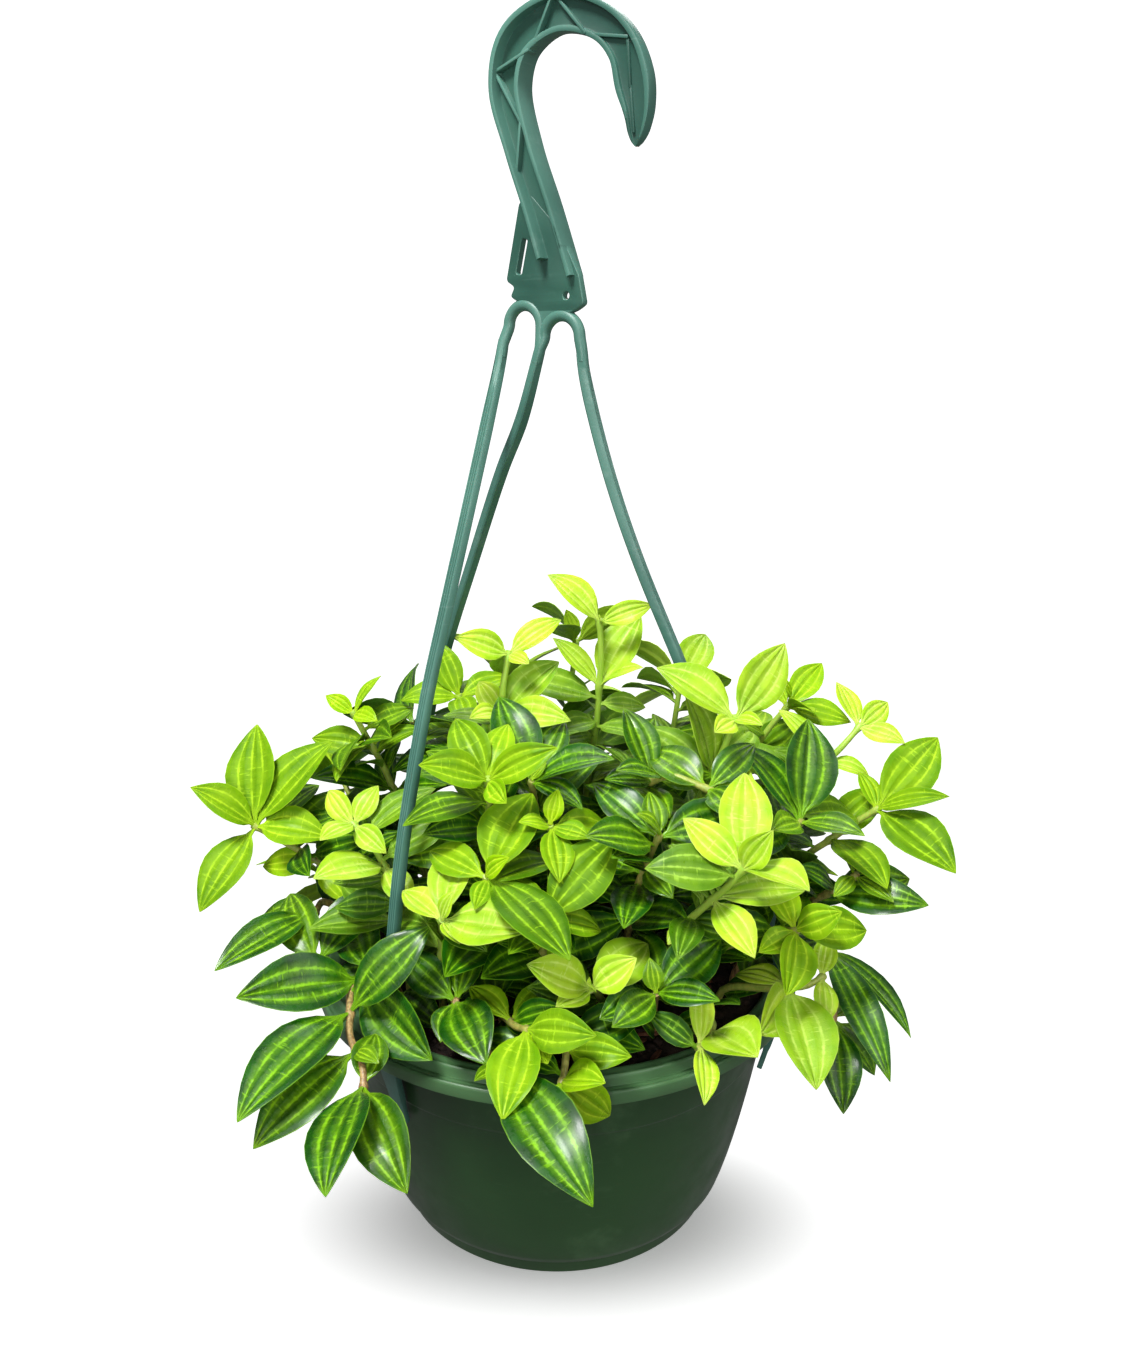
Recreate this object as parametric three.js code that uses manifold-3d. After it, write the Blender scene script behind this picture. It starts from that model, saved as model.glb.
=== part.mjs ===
// Beetle peperomia in a 20 cm hanging pot: pot, soil, one-piece hanger and the leafy stems.
// Millimetres, +Z up, origin at the middle of the pot's underside. -Y is the front, azimuths turn from +X
// towards +Y.
import * as THREE from "three";
import { mergeVertices } from "three/addons/utils/BufferGeometryUtils.js";
import Module from "manifold-3d";

const wasm = await Module();
wasm.setup();

// Driving dimensions of the pot
const collarRadius = 100;
const footRadius = 66.8;
const bowlHeight = 97.4;
const bowlGrowth = 24.2; // how much wider the bowl is under the collar than at its foot
const bowlPower = 0.62; // under 1 the bowl opens fast at the foot and stands steep near the rim
const wall = 1.9;
const shoulderHeight = 77;
const rimHeight = 106.2;
const ledgeHeight = 102.4;
const ledgeInnerRadius = 96;
const lipInnerRadius = 90.4;
const potSides = 30;
const drainHoles = 4;
const drainRadius = 3.2;
const drainCircle = 42;

// Driving dimensions of the soil
const soilEdgeHeight = 102.6;
const soilCrown = 2.2;
const soilSides = 18;
const soilGap = 0.9; // to the pot's inner wall, so that the facets of both stay apart

// Driving dimensions of the hanger
const hookTurn = -36; // azimuth of the hook's flat side, degrees
const innerFlange = 13; // depths of the hook's flanges at its foot
const outerFlange = 9;
const flangeShare = 0.34; // of half the hook's width
const hookSteps = 15;
const ribDepth = 4.6;
const webThickness = 3;
const plateThickness = 3.2;
const legTop = 352; // where the legs go over into the hanger's head
const partGap = 0.3;
const hookTop = 470;
const legWidth = 5.4;
const legDepth = 3.8;
const legSteps = 10;
const clipWidth = 7.2;
const clipDepth = 2.8;
const clipRadius = 95.6;
const slotWidth = 8.6;
const slotInner = 93.4;
const slotOuter = 98;

// Driving dimensions of the leafy stems
const stemRadius = 1.6;
const stemTopRadius = 1.2;
const holeRadius = 3;
const holeBottom = 86;
const bladeThickness = 1.3;
const petioleHalfWidth = 0.9;
const leafGap = 0.35; // thickening of each leaf while its room is tested
const leafRoot = 0.3; // from the stem's middle line to a leaf's inner end
const stemEnd = 1.8; // how far a stem runs on past its last whorl
const petioleShare = 0.1; // of the leaf's length
const smallLeaf = 27; // shorter leaves have two rings of points
const longLeaf = 46; // longer leaves have four, all others three
const tilt = Math.PI / 180;

const finishes = {
  pot: { color: 0x2f4a31, roughness: 0.42, metalness: 0 },
  hanger: { color: 0x3f6b5b, roughness: 0.5, metalness: 0 },
  soil: { color: 0x2a1d14, roughness: 0.95, metalness: 0 },
  mature: { color: 0x3f7d1f, roughness: 0.38, metalness: 0 },
  fresh: { color: 0x7bb52a, roughness: 0.38, metalness: 0 },
  young: { color: 0xb4d83a, roughness: 0.4, metalness: 0 },
};

const vec = (x, y, z) => new THREE.Vector3(x, y, z);

const polar = (azimuth, radius, z) => {
  const angle = azimuth * tilt;
  return vec(radius * Math.cos(angle), radius * Math.sin(angle), z);
};

function solidOf(geometry) {
  const bare = geometry.index ? geometry.clone() : mergeVertices(geometry);
  bare.deleteAttribute("normal");
  bare.deleteAttribute("uv");
  const merged = mergeVertices(bare, 1e-4);
  return new wasm.Manifold(new wasm.Mesh({
    numProp: 3,
    vertProperties: new Float32Array(merged.attributes.position.array),
    triVerts: new Uint32Array(merged.index.array),
  }));
}

function meshOf(name, solid, finish) {
  const data = solid.getMesh();
  const geometry = new THREE.BufferGeometry();
  const points = [];
  for (let vertex = 0; vertex < data.numVert; vertex += 1) {
    points.push(...data.vertProperties.slice(vertex * data.numProp, vertex * data.numProp + 3));
  }
  geometry.setAttribute("position", new THREE.Float32BufferAttribute(points, 3));
  geometry.setIndex([...data.triVerts]);
  geometry.computeVertexNormals();
  const mesh = new THREE.Mesh(geometry, new THREE.MeshStandardMaterial(finish));
  mesh.name = name;
  return mesh;
}

const joined = (solids) => solids.reduce((whole, piece) => whole.add(piece));

// A turned solid: the profile is a list of [radius, height], from the axis round to the axis again
function turned(profile, sides) {
  const line = profile.map(([radius, height]) => new THREE.Vector2(radius, height));
  const lathe = new THREE.LatheGeometry(line, sides);
  lathe.rotateX(Math.PI / 2);
  return lathe;
}

// Bends a straight shape that runs from z = 0 to z = 1 along a curve. sideOf gives the direction of its
// local x, and sizeOf scales its section as [x, y]
function alongCurve(straight, curve, sideOf, sizeOf = () => [1, 1], shareOf = (share) => share) {
  const places = straight.attributes.position;
  const local = new THREE.Vector3();
  for (let index = 0; index < places.count; index += 1) {
    local.fromBufferAttribute(places, index);
    const share = shareOf(THREE.MathUtils.clamp(local.z, 0, 1));
    const along = curve.getTangent(share);
    const wanted = sideOf(share);
    const side = wanted.clone().addScaledVector(along, -wanted.dot(along)).normalize();
    const across = along.clone().cross(side);
    const [wide, deep] = sizeOf(share);
    const place = curve.getPoint(share).addScaledVector(side, local.x * wide);
    place.addScaledVector(across, local.y * deep);
    places.setXYZ(index, place.x, place.y, place.z);
  }
  return straight;
}

function box(wide, deep, high) {
  return new THREE.BoxGeometry(wide, deep, high);
}

// The pot
const bowlRadius = (z) => footRadius - 0.5 + bowlGrowth * Math.max(z / 96, 0) ** bowlPower;

function potProfile() {
  const outside = [[footRadius + 3.5, 7.6], ...[14, 24, 38, 56].map((z) => [bowlRadius(z), z])];
  const shoulderRadius = bowlRadius(shoulderHeight);
  const shoulder = [[shoulderRadius, shoulderHeight], [shoulderRadius + 0.6, shoulderHeight + 1]];
  const rim = [
    [bowlRadius(96) + 0.3, 104.2], [94.3, 104.2], [94.3, 100.6], [98.4, 100.6],
    [98.4, bowlHeight], [collarRadius, bowlHeight], [collarRadius - 0.1, 101.7],
    [collarRadius - 0.8, ledgeHeight], [ledgeInnerRadius, ledgeHeight], [ledgeInnerRadius - 0.5, rimHeight],
    [lipInnerRadius, rimHeight], [bowlRadius(96) - wall, 103.6],
  ];
  const inside = [66, 34, 14].map((z) => [bowlRadius(z) - wall, z]);
  return [
    [0, 0], [26, 0], [27, 1.4], [58, 1.4], [60.5, 0], [footRadius, 0], [footRadius + 1.2, 7],
    ...outside, ...shoulder, ...rim, ...inside, [66, 4.6], [0, 4.2],
  ];
}

function potSolid() {
  let pot = solidOf(turned(potProfile(), potSides));
  for (const { azimuth } of legs) {
    const slot = box(slotOuter - slotInner, slotWidth, 20);
    slot.translate((slotInner + slotOuter) / 2, 0, bowlHeight + 10);
    slot.rotateZ(azimuth * tilt);
    pot = pot.subtract(solidOf(slot));
  }
  for (let index = 0; index < drainHoles; index += 1) {
    const hole = new THREE.CylinderGeometry(drainRadius, drainRadius, 12, 6).rotateX(Math.PI / 2);
    const centre = polar((index + 0.5) * (360 / drainHoles), drainCircle, 2);
    pot = pot.subtract(solidOf(hole.translate(centre.x, centre.y, centre.z)));
  }
  return pot;
}

// The soil, with a plain hole for every stem
function soilSolid(roots) {
  const inner = (z) => bowlRadius(z) - wall - soilGap;
  const profile = [
    [0, 5.4], [60, 5.4], [inner(14), 14], [inner(40), 40], [inner(74), 74],
    [inner(96) - 0.2, soilEdgeHeight], [64, soilEdgeHeight + 1.2], [30, soilEdgeHeight + 1.9],
    [0, soilEdgeHeight + soilCrown],
  ];
  const lathe = turned(profile, soilSides);
  const places = lathe.attributes.position;
  for (let index = 0; index < places.count; index += 1) {
    const [x, y, z] = [places.getX(index), places.getY(index), places.getZ(index)];
    if (z > soilEdgeHeight + 0.1) {
      places.setZ(index, z + 0.6 * Math.sin(x / 9 + 1) * Math.cos(y / 11 - 0.5));
    }
  }
  const height = soilEdgeHeight + 12 - holeBottom;
  return roots.reduce((soil, [x, y]) => {
    const hole = new THREE.CylinderGeometry(holeRadius, holeRadius, height, 4).rotateX(Math.PI / 2);
    return soil.subtract(solidOf(hole.translate(x, y, holeBottom + height / 2)));
  }, solidOf(lathe));
}

// The hanger: places in the hook's own plane are [across, up], from the pot's axis and its underside
const hookAcross = polar(hookTurn, 1, 0);
const hookThrough = vec(-hookAcross.y, hookAcross.x, 0);
const inHook = (across, up, through = 0) => hookAcross.clone().multiplyScalar(across)
  .addScaledVector(hookThrough, through).setZ(up);

const hookLine = [
  [4.6, 372], [-4.9, 398], [-13.8, 420], [-19.7, 441], [-15.4, 454.5], [1, 461.5], [19.5, 456], [28.5, 447],
  [32.4, 436.5], [34.4, 427], [33.8, 415.8],
];
const hookHalfWidths = [5.6, 5.3, 5.2, 6.1, 6.8, 6.4, 5.8, 6.2, 7, 5.4, 2.2];
const hookDepths = [1, 1, 1, 1, 0.9, 0.6, 0.5, 0.42, 0.42, 0.4, 0.3]; // the flanges get lower towards the tip
const plateOutline = [
  [-10.4, 404], [-15.9, 401.7], [-22.1, 375.4], [-21.6, 374.3], [-18.4, 372.4], [-20.4, 369], [-16, 366.6],
  [-9, 364.5], [-6.5, 358.6], [-3.6, 360.4], [4, 361.6], [9.6, 363.4], [13.2, 365.5], [11, 375.5],
  [2, 392],
];
const archCentres = [[-14.6, 358.4, 7.6], [2.5, 353.8, 8.1]]; // across, up, middle radius
const ribLines = [
  [[-24, 446], [-9, 451]], [[-8, 452], [0, 466]], [[2, 466], [14, 453]], [[14, 453], [31, 449.6]],
  [[30.4, 450], [31, 434]], [[31, 435], [33.4, 420]], [[-24, 445], [-13, 428]], [[-13, 429], [-15, 411]],
];

const legs = [
  { name: "left", azimuth: 230, path: [
    [-19, 13.4, 361.5], [-21, 12, 348], [-26, 3, 324], [-32.3, -10, 295], [-40.6, -29, 257], [-47, -43, 227],
    [-55, -62, 177], [-59, -70.5, 138], [-61.4, -73.2, 112],
  ] },
  { name: "back", azimuth: 130, path: [
    [-3.6, 2.6, 360], [-7.2, 4.2, 346], [-13.4, 11, 324], [-21.6, 19, 304], [-34.8, 33, 266],
    [-49.2, 50, 223], [-58.8, 61, 188], [-61.5, 70, 145], [-61.4, 73.2, 112],
  ] },
  { name: "right", azimuth: 338, path: [
    [9, -6.5, 358], [9.6, -7, 346], [11.8, -8, 334], [20.2, -13, 303], [30.4, -18, 274], [47.3, -24, 234],
    [67.3, -31, 185], [82, -35, 140], [88.6, -35.8, 112],
  ] },
];

function curveOf(points) {
  return new THREE.CatmullRomCurve3(points.map(([x, y, z]) => vec(x, y, z)));
}

function flatShape(outline) {
  return new THREE.Shape(outline.map(([x, y]) => new THREE.Vector2(x, y)));
}

// A flat plate in the hook's plane
function hookPlate(shape, thickness) {
  const plate = new THREE.ExtrudeGeometry(shape, { depth: thickness, bevelEnabled: false, curveSegments: 5 });
  plate.translate(0, 0, -thickness / 2);
  const toHook = new THREE.Matrix4().makeBasis(hookAcross, vec(0, 0, 1), hookThrough.clone().negate());
  return plate.applyMatrix4(toHook);
}

function straightBar(shape, steps) {
  return new THREE.ExtrudeGeometry(shape, { depth: 1, steps, bevelEnabled: false });
}

function rectangle(wide, deep) {
  const [x, y] = [wide / 2, deep / 2];
  return flatShape([[-x, -y], [x, -y], [x, y], [-x, y]]);
}

// The hook's section is an I that lies on its side: a web between the wide inner and the narrower outer
// flange
function hookBow() {
  const centre = new THREE.CatmullRomCurve3(hookLine.map(([across, up]) => inHook(across, up)));
  const halves = new THREE.CatmullRomCurve3(hookHalfWidths.map((half, index) => vec(half, index, 0)));
  const depths = new THREE.CatmullRomCurve3(hookDepths.map((depth, index) => vec(depth, index, 0)));
  const outer = outerFlange / 2;
  const inner = innerFlange / 2;
  const web = webThickness / 2;
  const flange = 1 - flangeShare;
  const section = flatShape([
    [-1, -outer], [-flange, -outer], [-flange, -web], [flange, -web], [flange, -inner], [1, -inner],
    [1, inner], [flange, inner], [flange, web], [-flange, web], [-flange, outer], [-1, outer],
  ]);
  const sideOf = (share) => centre.getTangent(share).cross(hookThrough).normalize();
  const sizeOf = (share) => [halves.getPoint(share).x, depths.getPoint(share).x];
  return solidOf(alongCurve(straightBar(section, hookSteps), centre, sideOf, sizeOf));
}

function hookRibs() {
  return ribLines.map(([from, to]) => {
    const start = inHook(...from);
    const end = inHook(...to);
    const rib = box(1.4, ribDepth, start.distanceTo(end)).translate(0, ribDepth / 2, 0);
    const along = end.clone().sub(start).normalize();
    const wide = along.clone().cross(hookThrough);
    rib.applyMatrix4(new THREE.Matrix4().makeBasis(wide, hookThrough.clone().negate(), along));
    const middle = start.add(end).multiplyScalar(0.5);
    return solidOf(rib.translate(middle.x, middle.y, middle.z));
  });
}

function hangerPlate() {
  const plate = solidOf(hookPlate(flatShape(plateOutline), plateThickness));
  const slotShape = flatShape([[-14.6, 389.4], [-17.6, 377.2], [-15, 376.5], [-12, 388.7]]);
  const slot = solidOf(hookPlate(slotShape, 20));
  const hole = solidOf(hookPlate(new THREE.Shape().absarc(5.4, 368.6, 1.4, 0, 2 * Math.PI), 20));
  return plate.subtract(slot).subtract(hole);
}

function legSection() {
  const [half, deep] = [legWidth / 2, legDepth / 2];
  return flatShape([[-half, -deep * 0.5], [-half * 0.6, -deep], [half * 0.6, -deep], [half, -deep * 0.5],
    [half, deep * 0.5], [half * 0.6, deep], [-half * 0.6, deep], [-half, deep * 0.5]]);
}

function archSolid([across, up, radius]) {
  const points = Array.from({ length: 7 }, (_, index) => {
    const angle = Math.PI * (index / 6);
    return inHook(across - radius * Math.cos(angle), up + radius * Math.sin(angle));
  });
  const first = points[0].clone().setZ(up - 2);
  const last = points[6].clone().setZ(up - 2);
  const curve = new THREE.CatmullRomCurve3([first, ...points, last]);
  const bar = new THREE.CylinderGeometry(2.2, 2.2, 1, 6, 8).rotateX(Math.PI / 2).translate(0, 0, 0.5);
  return solidOf(alongCurve(bar, curve, () => hookThrough));
}

function legSolid({ azimuth, path }) {
  const outward = polar(azimuth, 1, 0);
  const side = vec(-outward.y, outward.x, 0);
  const bar = alongCurve(straightBar(legSection(), legSteps), curveOf(path), () => side,
    (share) => [1 - 0.22 * share, 1]);
  const blade = curveOf([[clipRadius, 116], [clipRadius, 104], [clipRadius, 98], [92.4, 84], [88.8, 70]]
    .map(([radius, z]) => [...polar(azimuth, radius, z)]));
  const widths = [[0, 0.6], [0.1, 1], [0.4, 1], [0.5, 1.4], [0.6, 1.15], [1, 0.6]];
  const wideAt = (share) => {
    const next = Math.max(1, widths.findIndex(([at]) => at >= share));
    const [[from, wide], [to, after]] = [widths[next - 1], widths[next]];
    return wide + (after - wide) * ((share - from) / (to - from));
  };
  const clip = alongCurve(straightBar(rectangle(clipWidth, clipDepth), 10), blade, () => side,
    (share) => [wideAt(share), share > 0.8 ? 0.75 : 1]);
  return solidOf(bar).add(solidOf(clip));
}

const slab = (from, to) => {
  const side = 3 * collarRadius;
  return solidOf(box(side, side, to - from).translate(0, 0, (from + to) / 2));
};

// The hanger is one moulding. Its head and its legs are solids of their own, a slit apart, so that each is
// simple
function hangerSolids() {
  const bars = legs.map(legSolid);
  const head = joined([hookBow(), ...hookRibs(), hangerPlate(), ...archCentres.map(archSolid), ...bars])
    .subtract(slab(0, legTop + partGap / 2));
  const cutBars = bars.map((bar) => bar.subtract(slab(legTop - partGap / 2, hookTop)));
  return [["hanger_head", head], ...legs.map(({ name }, index) => [`hanger_leg_${name}`, cutBars[index]])];
}

// The stems that show from the front. root is [x, y] in the soil and nodes are [x, y, z]. Each node's
// leaves are [azimuth, rise, length, width / length], the last one left out for the usual breadth
const frontStems = {
  left_high: { tone: "fresh", root: [-52, -18], nodes: [[-94, -18, 152], [-118, -22, 169]], leaves: [
    [[170, -10, 24], [320, -35, 22]],
    [[98, 55, 42, 0.52], [28, 43, 44], [200, 40, 30], [62, 47, 17], [352, -5, 29, 0.56], [235, -40, 38, 0.5]],
  ] },
  left_yellow: { tone: "young", root: [-58, -36], nodes: [[-61, -52, 165], [-75, -45, 179]], leaves: [
    [[225, 10, 31, 0.54], [320, -30, 20]],
    [[130, 25, 20], [60, 45, 17], [235, 0, 17], [320, -20, 18]],
  ] },
  left_low: { tone: "mature", root: [-66, -20], nodes: [[-99, -30, 143], [-90, -52, 126]], leaves: [
    [[225, -10, 44, 0.36], [170, -14, 24]],
    [[108, 40, 36, 0.5], [36, 35, 38, 0.44]],
  ] },
  left_trail: { tone: "mature", root: [-60, -46], nodes: [[-70, -64, 130], [-76, -80, 120], [-67, -95, 117],
    [-65, -104, 109]], leaves: [
    [[210, 8, 46, 0.46], [325, -20, 42, 0.5]],
    [[15, 45, 42, 0.4], [240, -10, 56, 0.42], [190, -55, 52, 0.34]],
    [[225, -22, 44, 0.46], [315, 8, 13]],
    [[255, -8, 46, 0.46], [300, -24, 40, 0.46], [85, 25, 20, 0.6]],
  ] },
  left_inner: { tone: "mature", root: [-38, -58], nodes: [[-36, -74, 123]], leaves: [
    [[115, 20, 32], [292, -8, 34, 0.56], [255, -22, 17, 0.6], [80, 22, 26]],
  ] },
  front_trail: { tone: "fresh", root: [-20, -62], nodes: [[-17, -86, 122], [-10, -98, 127]], leaves: [
    [[45, 18, 22, 0.4], [135, 12, 22]],
    [[258, -22, 34, 0.5], [328, 14, 28, 0.5], [292, -12, 15, 0.8]],
  ] },
  front_hang: { tone: "mature", root: [-31, -74], nodes: [[-24, -96, 116], [-18, -105, 116]], leaves: [
    [[170, 25, 12]],
    [[293, -17, 56, 0.4], [340, -52, 48, 0.3], [225, 8, 12]],
  ] },
  front_drop: { tone: "fresh", root: [4, -70], nodes: [[4, -94, 118], [2, -106, 112]], leaves: [
    [[335, 10, 24, 0.5]],
    [[253, -16, 32, 0.42], [322, 22, 19, 0.66], [10, -42, 22, 0.6]],
  ] },
  front_yellow: { tone: "young", root: [52, -56], nodes: [[57, -80, 114], [50, -88, 114]], leaves: [
    [[300, 10, 26, 0.85]],
    [[85, 35, 23, 0.36], [268, -20, 23, 0.38]],
  ] },
  right_broad: { tone: "young", root: [64, -42], nodes: [[84, -66, 122], [98, -60, 125]], leaves: [
    [[277, -28, 40, 0.56], [238, -14, 26, 0.7], [140, -8, 22, 0.6]],
    [[70, 45, 16], [265, -35, 18]],
  ] },
  right_mid: { tone: "fresh", root: [56, -28], nodes: [[86, -66, 147]], leaves: [
    [[330, 35, 20, 0.6], [212, -13, 17], [20, -10, 31, 0.5], [252, -40, 24, 0.6], [107, 25, 22]],
  ] },
  right_rosette: { tone: "young", root: [38, -46], nodes: [
    [45, -70, 152], [54, -78, 164], [63, -84, 179],
  ], leaves: [
    [[230, -20, 11]],
    [[12, 0, 34, 0.5], [300, -25, 26, 0.5]],
    [[82, 45, 36, 0.5], [155, 35, 26], [322, 58, 20, 0.5], [310, 5, 28, 0.6]],
  ] },
  centre_twig: { tone: "mature", root: [24, -36], nodes: [[32, -62, 171], [36, -66, 183]], leaves: [
    [[225, 25, 13], [295, -10, 20]],
    [[140, 25, 32, 0.42], [105, 50, 17], [20, 10, 32, 0.5]],
  ] },
  top_right: { tone: "young", root: [40, 2], nodes: [[57.5, -36, 193], [65, -42, 219]], leaves: [
    [[180, 72, 34, 0.54], [310, 5, 22]],
    [[168, 32, 34, 0.52], [30, 50, 34, 0.5], [310, 5, 13], [250, 12, 18]],
  ] },
  top_far_right: { tone: "fresh", root: [52, 20], nodes: [[95, 12, 208]], leaves: [
    [[40, 35, 26], [290, 10, 20], [120, 30, 20], [345, 0, 26]],
  ] },
  right_top: { tone: "young", root: [66, 4], nodes: [[106, -14, 192], [119, -10, 206]], leaves: [
    [[140, 40, 28, 0.4], [240, -35, 18], [345, -15, 18]],
    [[315, -5, 20], [35, 25, 18], [110, 40, 22]],
  ] },
  right_far: { tone: "fresh", root: [74, -10], nodes: [[107, -26, 166], [122, -32, 180]], leaves: [
    [[292, -8, 36, 0.5], [38, 48, 30, 0.5]],
    [[28, 40, 38, 0.5], [302, -16, 40, 0.5], [320, 24, 30, 0.3], [115, 45, 16]],
  ] },
  right_upright: { tone: "mature", root: [54, -12], nodes: [[89, -50, 182]], leaves: [
    [[75, 55, 40, 0.54], [140, 42, 36, 0.5], [318, 5, 26, 0.44], [230, 10, 20]],
  ] },
  right_dark: { tone: "mature", root: [72, -26], nodes: [[104, -43, 150], [111, -48, 160]], leaves: [
    [[308, -12, 44, 0.42], [12, 5, 34, 0.5]],
    [[315, -16, 17], [222, -18, 13], [85, 40, 14]],
  ] },
  right_hang: { tone: "mature", root: [76, 8], nodes: [[111, -24, 124], [110, -35, 92]], leaves: [
    [[288, -30, 58, 0.24], [345, -50, 36, 0.34], [318, -32, 46, 0.28]],
    [[268, -40, 36, 0.44], [338, -50, 27, 0.5], [65, 2, 24]],
  ] },
  top: { tone: "young", root: [8, 22], nodes: [[18, 6, 217], [17, 4, 245]], leaves: [
    [[168, 45, 27, 0.36], [35, 52, 34, 0.5], [330, 28, 22, 0.5]],
    [[170, 42, 28, 0.46], [0, 20, 22, 0.4], [270, 20, 9]],
  ] },
  top_left: { tone: "young", root: [-16, 4], nodes: [[-22, -22, 213], [-18, -20, 238]], leaves: [
    [[20, 40, 30, 0.5], [340, 5, 30, 0.44], [130, 35, 18], [230, 10, 18]],
    [[198, 22, 22, 0.5], [20, 30, 24, 0.4], [310, -5, 12]],
  ] },
  top_back_left: { tone: "fresh", root: [-30, 26], nodes: [[-41, 22, 209]], leaves: [
    [[140, 60, 26], [25, 15, 24], [190, 0, 24], [285, -15, 24]],
  ] },
  left_back: { tone: "fresh", root: [-50, 10], nodes: [[-77, 10, 192], [-83, 8, 206]], leaves: [
    [[170, 5, 26], [245, -15, 26], [40, 30, 22]],
    [[30, 50, 19], [165, 30, 14], [320, 0, 14]],
  ] },
  centre_left: { tone: "fresh", root: [-26, -26], nodes: [[-24, -60, 202]], leaves: [
    [[345, 30, 29, 0.42], [210, 22, 28, 0.5], [125, 38, 28, 0.5], [300, -15, 14, 0.6], [70, 40, 24]],
  ] },
  centre_face: { tone: "fresh", root: [-24, -44], nodes: [[-24, -76, 172]], leaves: [
    [[70, 35, 37, 0.56], [255, -22, 14], [140, 15, 28], [310, -16, 46, 0.46]],
  ] },
  centre_lime: { tone: "young", root: [-44, -46], nodes: [[-39, -84, 160]], leaves: [
    [[82, 36, 33, 0.44], [305, -17, 12], [140, 15, 20], [335, 15, 32, 0.62]],
  ] },
  centre_big: { tone: "fresh", root: [-6, -48], nodes: [[-4, -84, 160]], leaves: [
    [[36, 36, 39, 0.5], [133, 20, 24], [20, -20, 22], [255, 0, 20]],
  ] },
  front_lime: { tone: "young", root: [18, -58], nodes: [[12, -88, 136]], leaves: [
    [[196, 30, 26, 0.54], [55, 12, 30, 0.56], [354, 40, 20, 0.6], [232, 0, 16]],
  ] },
  front_dark: { tone: "mature", root: [36, -62], nodes: [[35, -82, 131]], leaves: [
    [[102, 27, 29, 0.54], [45, 22, 32, 0.54], [228, -5, 24, 0.5], [330, 10, 24]],
  ] },
  centre_back: { tone: "mature", root: [-4, -14], nodes: [[-9, -46, 196]], leaves: [
    [[122, 48, 36, 0.5], [350, 20, 32, 0.54], [320, -10, 24, 0.44], [45, 42, 28]],
  ] },
  centre_small: { tone: "fresh", root: [6, -32], nodes: [[-2, -64, 186]], leaves: [
    [[205, -5, 14, 0.6], [335, -5, 15, 0.6], [280, -35, 22], [30, -15, 26]],
  ] },
  centre_right: { tone: "mature", root: [22, -14], nodes: [[31, -40, 199], [55, -50, 195]], leaves: [
    [[220, 5, 24, 0.44], [120, 50, 30]],
    [[125, 28, 30, 0.54], [35, 30, 26], [300, -15, 20]],
  ] },
};

// The stems at the back: [azimuth, reach, height of the tip, tone]. Their leaves follow a rule
const backStems = [
  [14, 112, 148, "mature"], [28, 104, 118, "fresh"], [42, 118, 168, "fresh"], [60, 106, 120, "mature"],
  [74, 112, 172, "young"], [92, 106, 122, "fresh"], [106, 114, 166, "mature"], [146, 108, 122, "mature"],
  [152, 112, 164, "fresh"], [168, 104, 128, "fresh"], [36, 66, 210, "young"], [82, 60, 224, "fresh"],
  [112, 62, 206, "young"], [158, 66, 196, "mature"],
];

// Small seeded draw, the same in each run
function drawsFrom(seed) {
  let state = seed >>> 0;
  return (low, high) => {
    state = (Math.imul(state, 1664525) + 1013904223) >>> 0;
    return low + (high - low) * (state / 4294967296);
  };
}

// Lower whorls of three leaves fill the plant below the given ones, two of them on a tall stem
function lowerWhorls({ root: [x, y], nodes: [[, , first]] }, index) {
  const draw = drawsFrom(500 + index * 53);
  const count = first > 188 ? 2 : first > 154 ? 1 : 0;
  return Array.from({ length: count }, () => {
    const turn = draw(0, 120);
    return [0, 120, 240].map((step) => [turn + step + draw(-15, 15), draw(-5, 28), draw(28, 37)]);
  });
}

// A back stem has two whorls, wide leaves below and a steeper, smaller whorl round its tip
function backStem([azimuth, reach, height, tone], index) {
  const draw = drawsFrom(900 + index * 37);
  const rootRadius = Math.min(74, reach * 0.62);
  const root = polar(azimuth + draw(-3, 3), rootRadius, 0);
  const tip = polar(azimuth, reach, height);
  const lowHeight = Math.max(117, 112 + (height - 112) * 0.62);
  const low = polar(azimuth + draw(-5, 5), (reach + rootRadius) / 2 + 5, lowHeight);
  const whorl = (count, rise, length, turn) => Array.from({ length: count }, (_, leaf) => {
    const heading = turn + (leaf * 360) / count + draw(-14, 14);
    const outward = Math.cos((heading - azimuth) * tilt);
    return [heading, rise + draw(-12, 12) - (height < 130 ? 18 : 6) * outward, length * draw(0.85, 1.12)];
  });
  const leaves = [whorl(3, 2, 40, azimuth + draw(30, 90)), whorl(3, 24, 34, azimuth + draw(0, 90))];
  return { tone, root: [root.x, root.y], back: true, low: [], nodes: [[...low], [...tip]], leaves };
}

// Leaf form. along runs from 0 at the stem to 1 at the tip, across from -1 to 1 between the edges, lift is
// in mm
function halfWidthAt(leaf, along) {
  const share = THREE.MathUtils.clamp((along - petioleShare) / (1 - petioleShare), 0, 1);
  const outline = Math.max(0, Math.sin(Math.PI * share ** 0.92)) ** 0.8 * (1 - 0.22 * share ** 4);
  return petioleHalfWidth * (1 - share) + leaf.halfWidth * outline;
}

function leafPoint(leaf, along, across, lift) {
  const bend = leaf.droop * (0.5 - along);
  const reach = leaf.length / (2 * Math.sin(leaf.droop / 2));
  const wide = halfWidthAt(leaf, along) * across;
  return leaf.base.clone()
    .addScaledVector(leaf.heading, reach * (Math.sin(leaf.droop / 2) - Math.sin(bend)))
    .addScaledVector(leaf.face, reach * (Math.cos(bend) - Math.cos(leaf.droop / 2)))
    .addScaledVector(leaf.side, wide)
    .addScaledVector(leaf.face, (lift + leaf.fold * Math.abs(wide)) * Math.cos(bend))
    .addScaledVector(leaf.heading, -(lift + leaf.fold * Math.abs(wide)) * Math.sin(bend));
}

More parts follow.
